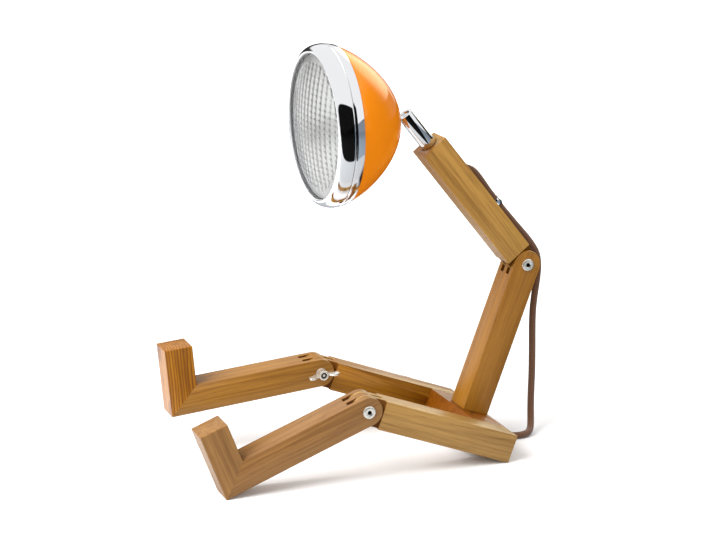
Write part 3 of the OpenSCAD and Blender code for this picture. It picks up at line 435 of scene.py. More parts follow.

# %% [markdown]
# ## Metals
#
# Metal is all reflection: full Metallic, a pale tint and a low roughness. Chrome is nearly a
# mirror, nickel is softer, and both get slow cloudy changes of roughness, as polishing leaves
# them. Some faces of a piece get another colour: the bezel's lip and the reflector's outer edge
# are left unpolished, and the floor of a bolt's socket and the bolt's end get a near black that
# is painted shade. The piece marks them, and the finish reads the mark.


# %% Metal finishes
def metal_finish(name, tint, smooth, rough, scale=0.08, scratch=0.0, metallic=1.0, marked=None):
    """marked: colour, metallic and added roughness of marked faces: unpolished ones, and painted
    shade.
    """
    finish, tree, shader = new_finish(name, {"Metallic": metallic, "Base Color": tint})
    where = object_mm(tree)
    cloud = remap(noise(where, scale, 3.0), 0.3, 0.7, smooth, rough)
    if marked:
        colour, metal, added = marked
        mark = face_mark(tree, "unpolished_and_painted_shade")
        wire(shader, {"Base Color": blend_colour(mark, tint, colour)})
        wire(shader, {"Metallic": remap(mark, 0, 1, metallic, metal)})
        cloud = plus(cloud, times(mark, added))
    wire(shader, {"Roughness": cloud})
    if scratch:
        relief(shader, noise(where, (2.0, 0.3, 2.0), 2.0), scratch)
    return finish


pale_rim, white_rim = ((0.66, 0.67, 0.69, 1), 0.1, 0.45), ((0.95, 0.95, 0.94, 1), 0.1, 0.4)
# The near-black mark is painted shade, for the floor of a bolt's socket and the bolt's end.
bolt_shade, silver = ((0.012, 0.012, 0.015, 1), 0.0, 0.4), (0.90, 0.90, 0.89, 1)
chrome = metal_finish("chrome", (0.80, 0.81, 0.83, 1), 0.03, 0.07, marked=pale_rim)
nickel = metal_finish("satin_nickel", (0.88, 0.86, 0.79, 1), 0.20, 0.32, 0.2, 0.0, 0.75, bolt_shade)
zinc = metal_finish("zinc_plate", (0.66, 0.67, 0.67, 1), 0.30, 0.48, 0.35, 0.02)
brass = metal_finish("brass", (0.80, 0.58, 0.25, 1), 0.18, 0.32, 0.3)
mirror_metal = metal_finish("vapour_coat", silver, 0.36, 0.44, 0.1, marked=white_rim)
print("metals:", chrome.name, nickel.name, zinc.name, brass.name, mirror_metal.name)

# %% [markdown]
# ## Enamel, glass, rubber and plastic
#
# The bowl's enamel is a coloured base under a clear coat. The coat is what shines, and a faint
# waviness in it, like orange peel, keeps the shine from looking computed. The rubber, plastic
# and ceramic pieces follow one recipe: two near tones in slow clouds, a roughness that goes with
# them, and a shallow grain. Glass lets the light through, and only its roughness changes.


# %% Coated finishes
def coated_finish(name, light, dark, scale, rough, wave, sockets=None, coat=False, grain=2.0):
    finish, tree, shader = new_finish(name, sockets or {})
    where = object_mm(tree)
    cloud = noise(where, scale, 3.0)
    colour = blend_colour(remap(cloud, 0.3, 0.7), (*light, 1), (*dark, 1))
    wire(shader, {"Base Color": colour, "Roughness": remap(cloud, 0.3, 0.7, *rough)})
    relief(shader, noise(where, grain, 2.0), wave, coat)
    return finish


enamel = {"Coat Weight": 0.6, "Coat Roughness": 0.05, "Specular IOR Level": 0.0}
glaze = {"Coat Weight": 0.6, "Coat Roughness": 0.06}
orange = (0.97, 0.275, 0.008), (0.93, 0.255, 0.007)
# Each finish: its two tones, the scale of its clouds, its roughness, its wave, and the rest
COATED = {
    "orange_enamel": (*orange, 0.02, (0.30, 0.36), 0.006, enamel, True, 0.35),
    "black_rubber": ((0.018, 0.018, 0.018), (0.032, 0.031, 0.030), 0.4, (0.55, 0.75), 0.02),
    "strap_rubber": ((0.022, 0.020, 0.019), (0.036, 0.033, 0.031), 0.5, (0.5, 0.7), 0.03),
    "pale_seal": ((0.60, 0.61, 0.62), (0.54, 0.55, 0.56), 0.4, (0.45, 0.6), 0.01),
    "brown_plastic": ((0.075, 0.036, 0.020), (0.095, 0.047, 0.026), 0.3, (0.30, 0.42), 0.015),
    "nylon": ((0.74, 0.73, 0.68), (0.68, 0.66, 0.60), 0.2, (0.35, 0.5), 0.01),
    "lead_sleeve": ((0.70, 0.69, 0.66), (0.60, 0.59, 0.55), 0.3, (0.4, 0.5), 0.01),
    "glazed_ceramic": ((0.80, 0.79, 0.75), (0.74, 0.72, 0.67), 0.15, (0.3, 0.4), 0.01, glaze),
}
coated = {name: coated_finish(name, *recipe) for name, recipe in COATED.items()}
brown_plastic = coated["brown_plastic"]
print("coated finishes:", ", ".join(coated))


# %% Glass finishes
def glass_finish(name, tint, bend, scale, detail, rough):
    """bend: how strongly the glass bends light."""
    sockets = {"Base Color": tint, "Transmission Weight": 1.0, "IOR": bend}
    finish, tree, shader = new_finish(name, sockets)
    cloud = noise(object_mm(tree), scale, detail)
    wire(shader, {"Roughness": remap(cloud, 0.3, 0.7, *rough)})
    return finish


lens_glass = glass_finish("pressed_glass", (0.985, 0.99, 0.987, 1), 1.5, 0.05, 2.0, (0.16, 0.22))
bulb_glass = glass_finish("bulb_glass", (0.97, 0.97, 0.96, 1), 1.3, 0.1, 1.0, (0.0, 0.03))
print("glass:", lens_glass.name, bulb_glass.name)

# %% [markdown]
# ## Braided textile
#
# The cord's sleeve is braided: two sets of threads wind round it in opposite directions and
# take turns on top. On the UV map the two sets are two diagonals. A sine along each diagonal
# gives the threads, and the product of the two gives the over-and-under. The same pattern lifts
# the surface and darkens the gaps with painted shade, and a little noise makes single fibres
# paler.


# %% Cord finish
THREADS = 6  # of each set, round the cord


def braid_finish():
    sockets = {"Specular IOR Level": 0.2, "Sheen Weight": 0.35, "Sheen Roughness": 0.5}
    finish, tree, shader = new_finish("brown_braid", sockets)
    axes = split_axes(add_node(tree, "ShaderNodeUVMap", uv_map="along").outputs[0])
    around, along = (times(axes[i], THREADS * 2 * math.pi) for i in (0, 1))
    left, right = calc("SINE", plus(around, along)), calc("SINE", minus(around, along))
    crossing = remap(times(left, right), -1, 1)
    fuzz = noise(object_mm(tree), 1.8, 3.0, 0.7)
    shade = plus(times(crossing, 0.55), times(fuzz, 0.75))
    # The dark gap colour is painted shade between the threads.
    gap_shade, thread = (0.085, 0.036, 0.017, 1), (0.215, 0.108, 0.060, 1)
    colour = blend_colour(remap(shade, 0.35, 0.95), gap_shade, thread)
    wire(shader, {"Base Color": colour, "Roughness": remap(fuzz, 0.3, 0.7, 0.70, 0.92)})
    relief(shader, shade, 0.25)
    return finish


brown_braid = braid_finish()
cord.data.materials.append(brown_braid)
print("braid finish has", len(brown_braid.node_tree.nodes), "nodes")

# %% [markdown]
# ## Putting a piece on the lamp
#
# Every piece rides on the body that it moves with, takes the place of its CAD solid, and names
# the slot of finish that it wears. One helper does the three, so no piece is left behind when a
# joint turns. Another helper gives a finish to CAD solids that are right as they are.


# %% Fitting helpers
WELD, CAD_WELD = 0.02, 0.004  # mm: points nearer than this become one


def fit(piece, finish, body, node):
    piece.data.materials.clear()
    piece.data.materials.append(finish)
    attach(piece, body)
    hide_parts(node)
    return piece


def dress(finish, *nodes):
    for node in nodes:
        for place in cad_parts[node].material_slots:
            place.material = finish


@contextmanager
def editing(mesh):
    """Opens a mesh for editing, and writes the result back to it."""
    form = bmesh.new()
    form.from_mesh(mesh)
    yield form
    form.to_mesh(mesh)
    form.free()


def shade(mesh, crease):
    """Smooth shading that stays sharp where faces meet at more than the crease."""
    mesh.shade_smooth()
    mesh.set_sharp_from_angle(angle=math.radians(crease))


def bevel(form, edges, width, segments):
    sizes = {"offset": width, "offset_type": "OFFSET", "segments": segments, "profile": 0.5}
    bmesh.ops.bevel(form, geom=edges, affect="EDGES", clamp_overlap=True, **sizes)


def tidy_shell(piece, crease):
    """Merges doubles, points the faces outwards and keeps sharp only what is sharp."""
    with editing(piece.data) as form:
        bmesh.ops.remove_doubles(form, verts=form.verts, dist=WELD * MM)
        bmesh.ops.recalc_face_normals(form, faces=form.faces)
    shade(piece.data, crease)
    return piece


def carry(piece, place):
    """Takes a piece that is drawn in millimetres to its place, in metres."""
    piece.data.transform(place @ Matrix.Scale(MM, 4))


print("fitting helpers are ready")

# %% [markdown]
# ## Easing the edges of the CAD solids
#
# No real edge is perfectly sharp: a bar is sanded, and a washer is tumbled. The eased edge is
# what catches the light, so it matters more than its size. The solid's mesh is copied, merged
# from loose triangles into real faces, and its outer edges are bevelled. Edges on a glue line
# stay sharp, because there the two bars meet flush, and so do the small facets of holes.


# %% Eased copies
CREASE, EASED_FROM = 32, 34  # degrees: what is shaded sharp, and what is worth easing


def worth_easing(edge, shortest, keep_sharp):
    if len(edge.link_faces) != 2 or not edge.is_convex:
        return False
    if edge.calc_face_angle() < math.radians(EASED_FROM) or edge.calc_length() < shortest * MM:
        return False
    return not (keep_sharp and all(keep_sharp(corner.co / MM) for corner in edge.verts))


def eased_copy(node, width, segments, shortest, keep_sharp=None):
    """A copy of a CAD solid with eased edges; shortest: no shorter edge is eased."""
    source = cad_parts[node]
    mesh = source.data.copy()
    mesh.name = node + "_eased"
    mesh.transform(source.matrix_world)
    with editing(mesh) as form:
        bmesh.ops.remove_doubles(form, verts=form.verts, dist=CAD_WELD * MM)
        flat = math.radians(1.0)
        bmesh.ops.dissolve_limit(form, angle_limit=flat, verts=form.verts, edges=form.edges)
        chosen = [edge for edge in form.edges if worth_easing(edge, shortest, keep_sharp)]
        bevel(form, chosen, width * MM, segments)
        bmesh.ops.triangulate(form, faces=[f for f in form.faces if len(f.verts) > 4])
    mesh.materials.clear()
    shade(mesh, CREASE)
    piece = bpy.data.objects.new(node + "_eased", mesh)
    bpy.context.scene.collection.objects.link(piece)
    return piece


def on_plane(limb_space, normal, at, reach=0.05):
    """A test that says whether a point in millimetres lies on a plane of a limb's space."""
    to_limb = limb_space.inverted()
    direction = Vector(normal).normalized()

    def test(point):
        local = (to_limb @ (Vector(point) * MM)) / MM
        return abs((local - Vector(at)).dot(direction)) < reach

    return test


print("easing helpers are ready")

# %% [markdown]
# ## The oak bars
#
# Nine bars make the figure. The hip block is glued between the thighs, so their shared faces
# are seams. Each shin meets its foot in a mitre, a joint cut at 45 degrees, which is a seam as
# well. Everything else on a bar is eased by half a millimetre, as sandpaper does it.

# %% Marks and seams
BAR_W, HIP_HALF, HEEL = 30.0, 51.0, -156.0
KNUCKLE_R, BAR_SKIN = 23, 0.7  # mm: how far a joint reaches, and the depth left unmarked
left_seam = on_plane(SEAT, (1, 0, 0), (HIP_HALF, 0, 0))
right_seam = on_plane(SEAT, (1, 0, 0), (-HIP_HALF, 0, 0))
left_mitre = on_plane(LEFT_LEG, (0, 1, -1), (0, HEEL, -14))
right_mitre = on_plane(RIGHT_LEG, (0, 1, -1), (0, HEEL, -14))


def either(*tests):
    return lambda point: any(test(point) for test in tests)


def mark_faces(piece, name, test):
    """Writes 1 on the faces that pass the test, as an attribute that a finish can read."""
    mark = piece.data.attributes.new(name, "FLOAT", "FACE")
    for face in piece.data.polygons:
        mark.data[face.index].value = float(test(face))


def mark_sawn_and_shade(piece, pivots):
    """Marks a knuckle joint's inner faces, slots' sides and shoulders, for sawn colour and painted
    shade.
    """

    def inside(face):
        for pivot in pivots:
            away = face.center / MM - Vector(pivot)
            side, away.x = away.x, 0
            if away.length > KNUCKLE_R or abs(side) > BAR_W / 2 - BAR_SKIN:
                continue
            if abs(face.normal.x) > 0.9 or face.normal.dot(away) < -0.6 * away.length:
                return True
        return False

    mark_faces(piece, "sawn_and_shade", inside)


print("the thighs stand", 2 * HIP_HALF, "mm apart")

# %% Bars
# Each bar: its body, its seams and its joint
BARS = {
    "hip_block": ("seat_and_torso", either(left_seam, right_seam), ()),
    "left_thigh": ("seat_and_torso", left_seam, (LEFT_KNEE_AT,)),
    "right_thigh": ("seat_and_torso", right_seam, (RIGHT_KNEE_AT,)),
    "torso_bar": ("seat_and_torso", None, (ELBOW_AT,)),
    "left_shin": ("left_leg", left_mitre, (LEFT_KNEE_AT,)),
    "left_foot": ("left_leg", left_mitre, ()),
    "right_shin": ("right_leg", right_mitre, (RIGHT_KNEE_AT,)),
    "right_foot": ("right_leg", right_mitre, ()),
    "upper_arm": ("upper_arm", None, (ELBOW_AT,)),
}
# Each bar's grain: its place and turn, the tree's heart, the mean colour, the width and depth of
# its rings, and where it isn't 1, how far light and dark wood lie apart
GRAINS = {
    # The hip block's dark deep tone is its wood's colour with painted shade from between the
    # thighs.
    "hip_block": (SEAT_AT, SEAT_TURN, (-60, 52), (0.215, 0.063, 0.002), 2.4, 0.2),
    "left_thigh": (SEAT_AT, SEAT_TURN, (20, 44), (0.37, 0.202, 0.053), 3.1, 0.3),
    "right_thigh": (SEAT_AT, SEAT_TURN, (-20, 70), (0.30, 0.120, 0.005), 2.4, 0.3),
    "torso_bar": (SEAT_AT, 90 + SEAT_TURN, (-90, 25), (0.345, 0.145, 0.012), 1.7, 0.12, 0.6),
    "left_shin": (LEFT_KNEE_AT, LEFT_DIP, (10, 48), (0.265, 0.125, 0.034), 3.6, 0.18),
    "left_foot": (LEFT_KNEE_AT, 90 + LEFT_DIP, (50, -120), (0.285, 0.135, 0.034), 3.0, 0.12),
    "right_shin": (RIGHT_KNEE_AT, RIGHT_DIP, (-30, 42), (0.312, 0.138, 0.018), 3.0, 0.25),
    "right_foot": (RIGHT_KNEE_AT, 90 + RIGHT_DIP, (20, -105), (0.36, 0.135, 0.004), 3.1, 2.4, 1.25),
    "upper_arm": (ELBOW_AT, 90 + ARM_TURN, (70, 60), (0.43, 0.222, 0.042), 2.6, 0.25),
}
for node, (body, seams, pivots) in BARS.items():
    bar = eased_copy(node, 0.55, 2, 1.0, seams)
    mark_sawn_and_shade(bar, pivots)
    fit(bar, oak_finish("oak_of_" + node, *GRAINS[node]), body, node)
    print(node, "has", len(bar.data.polygons), "faces")

beech = oak_finish("beech_dowel", SEAT_AT, SEAT_TURN, (90, 0), (0.52, 0.30, 0.13))
dress(beech, "hip_dowels", "torso_dowels", "left_foot_dowels", "right_foot_dowels")

# %% [markdown]
# ## Turned pieces
#
# Bolts, washers, the bowl, the bezel and the reflector are all turned or spun: one outline goes
# round an axis. In mesh code that is a stack of rings. Each ring has a radius and a height, and
# may be round or six-sided, which also gives a bolt its hexagon socket. A closed outline comes
# back to its start and gives the piece its true wall, inside and outside.


# %% Turning helper
def hexagon(angle):
    """How far out a hexagon's side lies at an angle, where its corners lie at 1."""
    twelfth = math.pi / 6
    return math.cos(twelfth) / math.cos((angle + twelfth) % (math.pi / 3) - twelfth)


def stacked_rings(outline, sides, closed, first=0):
    """Points and faces of an outline that goes round the Z axis, counted from the first."""
    points, faces, count = [], [], len(outline)
    for step in outline:
        for k in range(sides):
            angle = 2 * math.pi * k / sides
            radius = step[0] * (hexagon(angle) if len(step) == 3 else 1.0)
            points.append((radius * math.cos(angle), radius * math.sin(angle), step[1]))
    for i in range(count if closed else count - 1):
        ring, above = first + i * sides, first + (i + 1) % count * sides
        for k in range(sides):
            ahead = (k + 1) % sides
            faces.append((ring + k, ring + ahead, above + ahead, above + k))
    return points, faces


def turned(name, outline, place, sides, closed=False, crease=CREASE):
    """outline: (radius, height) or (corner radius, height, 'hex') in millimetres, along +Z."""
    points, faces = stacked_rings(outline, sides, closed)
    return tidy_shell(new_piece(name, points, faces, place @ Matrix.Scale(MM, 4)), crease)


def rounded(corner, start, end, cuts=4):
    """Outline points that round a corner between two lines, for (radius, height) pairs."""
    corner, start, end = Vector(corner), Vector(start), Vector(end)
    steps = [i / cuts for i in range(cuts + 1)]
    return [tuple((1 - t) ** 2 * start + 2 * t * (1 - t) * corner + t * t * end) for t in steps]


def slab_faces(n, first=0):
    """Faces of a slab with n corners, whose lower points come before its upper ones."""
    ends = [tuple(range(first + n - 1, first - 1, -1)), tuple(range(first + n, first + 2 * n))]
    pairs = [(first + i, first + (i + 1) % n) for i in range(n)]
    return ends + [(a, b, b + n, a + n) for a, b in pairs]


print("turning helpers are ready")

# %% [markdown]
# ## Joint bolts
#
# Each joint turns on a furniture bolt with a low round head and a hexagon socket. The head is
# crowned: its face rises from a chamfered rim and dips again round the socket. The shank goes
# through the fingers of the joint and ends just inside the wing nut. One outline, from the
# middle of the socket's floor to the shank's end, makes the whole bolt.

# %% Bolts
GRIP = 38.7  # from under the head to the end, 0.8 mm inside the nut
HEAD_H, SOCKET_R, END_R, THREAD_TOP, THREAD_STEP = 2.2, 2.36, 1.3, -31.8, 0.5
# Each joint: the body that carries its bolt, its space, and the side that the bolt's head is on
JOINTS = {
    "elbow": ("seat_and_torso", ELBOW, 1),
    "left_knee": ("left_leg", LEFT_LEG, 1),
    "right_knee": ("right_leg", RIGHT_LEG, -1),
}


def bolt_outline():
    outline = [(0.01, -2.4), (2.28, -2.4, "hex"), (2.3, HEAD_H - 0.5, "hex")]
    outline += [(2.75, HEAD_H - 0.22), (3.3, HEAD_H - 0.06), (4.3, HEAD_H), (5.0, HEAD_H - 0.12)]
    outline += rounded((5.9, HEAD_H - 0.3), (5.25, HEAD_H - 0.2), (6.1, HEAD_H - 0.85))
    outline += [(6.25, 0.9), (6.25, 0.25), (6.1, 0.0), (3.1, 0.0), (3.0, -0.1), (3.0, -31.7)]
    outline += [(3.0 - 0.25 * (i % 2), THREAD_TOP - THREAD_STEP * i) for i in range(1, 13)]
    return outline + [(2.9, 0.4 - GRIP), (2.6, -GRIP), (END_R, -GRIP), (0.01, -GRIP)]


for joint, (body, space, way) in JOINTS.items():
    node = joint + "_bolt"
    side = Matrix.Translation((way * BAR_W / 2 * MM, 0, 0))
    under_head = space @ side @ Matrix.Rotation(math.radians(90 * way), 4, "Y")
    bolt = turned(node + "_turned", bolt_outline(), under_head, 48)
    to_bolt = under_head.inverted()

    def in_socket_or_end(face):
        spot = to_bolt @ face.center / MM
        socket = spot.xy.length < SOCKET_R and spot.z > -3
        return socket or (spot.xy.length > END_R and spot.z < 0.3 - GRIP)

    # The socket's floor and the bolt's end take nickel's near-black mark, which is painted shade.
    mark_faces(bolt, "unpolished_and_painted_shade", in_socket_or_end)
    fit(bolt, nickel, body, node)
    print(node, "has", len(bolt.data.polygons), "faces")

# %% [markdown]
# ## Wing nuts
#
# A wing nut is cast: a threaded hub that flows into two ears, with no sharp corner anywhere.
# Such soft unions are hard to draw and easy to melt. A hub and two ears are put into one mesh,
# a voxel remesh fuses them into one skin, and a few rounds of smoothing pull the skin into
# fillets where they meet. The result is applied, so the piece is a plain mesh.


# %% Wing nut
EAR_T, VOXEL = 2.3, 0.26
HUB_LINE = [(3.05, 0.0), (4.8, 0.0), (5.0, 0.4), (4.9, 7.4), (4.6, 8.0), (3.05, 8.0)]


def ear_outline(side):
    """One ear in its own plane: away from the bolt, and along it."""
    middle, lobe = 11.6, 4.3
    turns = [math.radians(degrees) for degrees in range(-50, 151, 20)]
    ear = [(3.0, 1.2), (6.2, 1.0), (8.6, 2.2), (11.0, 4.4)]
    ear += [(middle + lobe * math.cos(a), 8.0 + lobe * math.sin(a)) for a in turns]
    ear += [(6.6, 8.6), (5.2, 6.9), (3.0, 6.4)]
    return [(side * x, z) for x, z in ear]


def plain_mesh(piece):
    """The piece with its modifiers applied, as a new plain mesh object."""
    bpy.context.view_layer.update()
    graph = bpy.context.evaluated_depsgraph_get()
    mesh = bpy.data.meshes.new_from_object(piece.evaluated_get(graph))
    mesh.name = piece.name
    made = bpy.data.objects.new(piece.name, mesh)
    bpy.context.scene.collection.objects.link(made)
    bpy.data.objects.remove(piece)
    return made


def wing_nut(name, place):
    """Two ears and a hub, fused and softened."""
    points, faces = [], []
    for side in (1, -1):
        ear = ear_outline(side)
        faces += slab_faces(len(ear), len(points))
        points += [(x, y, z) for y in (-EAR_T / 2, EAR_T / 2) for x, z in ear]
    hub_points, hub_faces = stacked_rings(HUB_LINE, 40, True, len(points))
    nut = new_piece(name, points + hub_points, faces + hub_faces)
    with editing(nut.data) as form:
        bmesh.ops.recalc_face_normals(form, faces=form.faces)
    fuse = nut.modifiers.new("fuse", "REMESH")
    fuse.mode, fuse.voxel_size, fuse.adaptivity = "VOXEL", VOXEL, 0.0
    soften = nut.modifiers.new("soften", "SMOOTH")
    soften.factor, soften.iterations = 0.5, 7
    nut = plain_mesh(nut)
    carry(nut, place)
    nut.data.shade_smooth()
    return nut


# %% Wing nuts and washers
WASHER_T = 1.5


def behind_joint(space, way, off, turn=0):
    """A place off the bar's far side, with +Z away from the bar, turned about the bolt."""
    out = Matrix.Translation((-way * (BAR_W / 2 + off) * MM, 0, 0))
    about = Matrix.Rotation(math.radians(way * turn), 4, "X")
    return space @ out @ about @ Matrix.Rotation(math.radians(-90 * way), 4, "Y")


for joint, turn in (("elbow", 0), ("left_knee", 60), ("right_knee", -90)):
    node, (space, way) = joint + "_wing_nut", JOINTS[joint][1:]
    nut = wing_nut(node + "_cast", behind_joint(space, way, WASHER_T, turn))
    fit(nut, nickel, node, node)
    print(node, "has", len(nut.data.polygons), "faces")

washer_line = [(3.3, 0.2), (3.5, 0.0), (5.1, 0.0), (5.3, 0.2), (5.3, 1.2), (5.1, 1.4), (3.5, 1.4)]
for joint, (body, space, way) in JOINTS.items():
    node, place = joint + "_washer", behind_joint(space, way, 0)
    disc = turned(node + "_turned", washer_line, place, 64, closed=True)
    fit(disc, nickel, body, node)

# %% [markdown]
# ## The bowl
#
# The headlamp's bowl is spun from sheet steel and enamelled: a rounded cone, blunt at the back,
# with a hem at its rim that goes under the bezel. The outline follows a power of the sine, which
# is fuller than a cone and more pointed than a ball. It runs along the outside, round the hem
# and back along the inside, so the sheet has its real thickness of 1.2 mm.

# %% Bowl
BOWL_BACK, BOWL_DEEP, BOWL_R, BOWL_T = 12.5, 61.2, 75.0, 1.2
HOLE_R = 4.2


def bowl_curve(radius, depth, back, cuts=56):
    """The bowl's curve from its rim to the hole at its back."""
    curve = []
    for i in range(cuts + 1):
        sine = math.sin(math.radians(90 * i / cuts))
        share = max(0.0, 1 - sine**1.25)
        curve.append((radius * math.sqrt(share), back + depth * (1 - sine)))
    return [point for point in curve if point[0] > HOLE_R]


outer = bowl_curve(BOWL_R, BOWL_DEEP, BOWL_BACK)
inner = bowl_curve(BOWL_R - BOWL_T - 0.9, BOWL_DEEP - 2 * BOWL_T, BOWL_BACK + BOWL_T)
rim = BOWL_BACK + BOWL_DEEP
outline = [(3.3, BOWL_BACK + 0.35), (3.6, BOWL_BACK + 0.08)] + outer[::-1]
outline += [(74.6, rim + 0.4), (73.5, rim + 0.5), (73.5, rim + 7), (72.3, rim + 7)]
outline += [(72.3, rim - 1.2)] + inner + [(3.3, BOWL_BACK + BOWL_T)]
bowl = turned("spun_bowl", outline, HEAD, 160, closed=True, crease=40)
fit(bowl, coated["orange_enamel"], "head", "head_bowl")
print("the bowl has", len(bowl.data.polygons), "faces")

# %% [markdown]
# ## The bezel
#
# The chrome bezel holds the lens to the bowl. Its front is a narrow lip, rolled over the
# glass. From there a full round bulge goes back to a crease, and a raised bead closes the ring
# behind. Chrome shows every change of curve, so the outline has many small steps where it
# bends, and the crease is a real valley.

# %% Bezel ring
FRONT, LIP_R, LIP_BACK = rim + 23.8, 69.25, 2.5
BULGE_AT, BULGE_OUT, BULGE_BACK = 70, 7.4, 13.7
# The valley behind the bulge, and the bead behind it: how far back, and the radius there
VALLEY = ((14.3, 77.3), (14.8, 76.85), (15.05, 76.55), (15.25, 76.7), (15.4, 77.0), (15.7, 77.15))
BEAD = ((17.0, 77.1), (18.6, 76.95), (20.3, 76.7), (22.1, 76.35), (23.8, 75.9))


def bezel_outline(inset):
    """Outer line of the bezel from front to rear, moved inwards by the inset."""
    line = []
    for i in range(25):
        a = math.radians(90 * i / 24)
        height = FRONT - BULGE_BACK * (1 - math.cos(a)) - inset * math.cos(a)
        line.append((BULGE_AT + (BULGE_OUT - inset) * math.sin(a), height))
    return line + [(radius - inset, FRONT - back) for back, radius in VALLEY + BEAD]


lip = [(70.0, FRONT - 2.4), (69.3, FRONT - 2.35), (68.9, FRONT - 2.0), (68.8, FRONT - 1.5)]
lip += [(69.0, FRONT - 0.85), (69.35, FRONT - 0.35), (69.7, FRONT - 0.08)]
outline = lip + bezel_outline(0) + bezel_outline(1.0)[::-1]
bezel = turned("chrome_bezel", outline, HEAD, 192, closed=True, crease=50)
to_head = HEAD.inverted()


def in_lip(face):
    spot = to_head @ face.center / MM
    return spot.xy.length < LIP_R and spot.z > FRONT - LIP_BACK


mark_faces(bezel, "unpolished_and_painted_shade", in_lip)
fit(bezel, chrome, "head", "bezel_ring")
print("the bezel has", len(bezel.data.polygons), "faces")

# %% [markdown]
# ## Reflector and gasket
#
# Behind the lens sits a pressed reflector. Its curve is a parabola with the bulb's filament at
# its focus, so the light leaves in a straight beam. It carries the look of the lens: what is
# seen through the glass is mostly this mirror. Its outer edge stays unpolished, and a pale
# rubber gasket lies between it and the glass.

# %% Reflector
FOCAL, GLASS_R, SEAT_Z, MIRROR_R = 27.0, 72.8, 89.9, 66
APEX = SEAT_Z - 0.8 - GLASS_R**2 / (4 * FOCAL)
dish = [(r, APEX + r * r / (4 * FOCAL)) for r in [15 + 56.4 * i / 40 for i in range(41)]]
outline = dish + [(72.3, SEAT_Z - 0.8), (72.3, SEAT_Z), (71.9, SEAT_Z)]
outline += [(r - 0.3, z + 0.8) for r, z in dish[::-1]]
reflector = turned("pressed_reflector", outline, HEAD, 128, closed=True)


def in_outer_edge(face):
    return (to_head @ face.center).xy.length > MIRROR_R * MM


mark_faces(reflector, "unpolished_and_painted_shade", in_outer_edge)
fit(reflector, mirror_metal, "head", "reflector")
gasket_line = [(70.4, 93.95), (70.4, 95.05), (72.0, 95.05), (72.0, 93.95)]
gasket = turned("lens_seal", gasket_line, HEAD, 128, closed=True)
fit(gasket, coated["pale_seal"], "head", "lens_gasket")
print("the reflector's focus lies", FOCAL, "mm in front of its apex")

# %% [markdown]
# ## Bulb, holder and cup
#
# The bulb is a glass tube with a round end and a narrow neck. Its glass bends the light less
# than solid glass does, since a real bulb is hollow. The ceramic holder grips the neck, and a
# steel cup carries the holder. Both are right as CAD solids and only get eased edges.

# %% Bulb, holder and cup
BULB_Z, BULB_R, BULB_L = 42.1, 7.5, 40
skin = [(0.01, BULB_Z - 6.9), (4.0, BULB_Z - 6.9), (4.3, BULB_Z - 6.5), (4.3, BULB_Z - 0.2)]
skin += [(6.6, BULB_Z + 0.1), (BULB_R, BULB_Z + 1.2), (BULB_R, BULB_Z + BULB_L - BULB_R)]
for a in (math.radians(degrees) for degrees in range(10, 90, 10)):
    skin.append((BULB_R * math.cos(a), BULB_Z + BULB_L - BULB_R + BULB_R * math.sin(a)))
bulb = turned("bulb_skin", skin + [(0.01, BULB_Z + BULB_L)], HEAD, 48)
fit(bulb, bulb_glass, "head", "bulb")
holder = eased_copy("lamp_holder", 1.0, 3, 0.5)
fit(holder, coated["glazed_ceramic"], "head", "lamp_holder")
fit(eased_copy("bracket_cup", 0.4, 3, 0.5), zinc, "head", "bracket_cup")
print("the bulb is", BULB_R * 2, "mm across")

# %% [markdown]
# ## The fluted lens
#
# The lens is pressed glass: a flat rim, a low dome, and on its inside columns and rows of
# shallow waves, the flutes, that spread the beam. Its shape follows a rule all over, so Geometry
# Nodes make it. A flat grid of points is rolled up: one side of the grid becomes the way round
# the axis, and the other side the way along the closed outline, from the dome's top over the rim
# to the back. The height then gets the flutes, which fade out before the plain rim.
#
# The tree has named inputs for the pitch and depth of the flutes, so another lens is only
# another set of numbers.


# %% Lens tree
FADE, LENS_WELD = 5.0, 0.0005  # mm: how slowly the flutes end, and points that become one


def end_tree(shapes, finish, out):
    """The end of every tree here: copies are made real and get their finish."""
    whole = add_node(out.id_data, "GeometryNodeRealizeInstances", {"Geometry": shapes})
    inputs = {"Geometry": whole.outputs[0], "Material": finish}
    wire(out, {"Geometry": add_node(out.id_data, "GeometryNodeSetMaterial", inputs).outputs[0]})


def flutes(place, pitch, depth):
    """Rounded ridges side by side, as a height."""
    wave = calc("SINE", calc("DIVIDE", times(place, math.pi), pitch))
    return times(calc("ABSOLUTE", wave), depth)


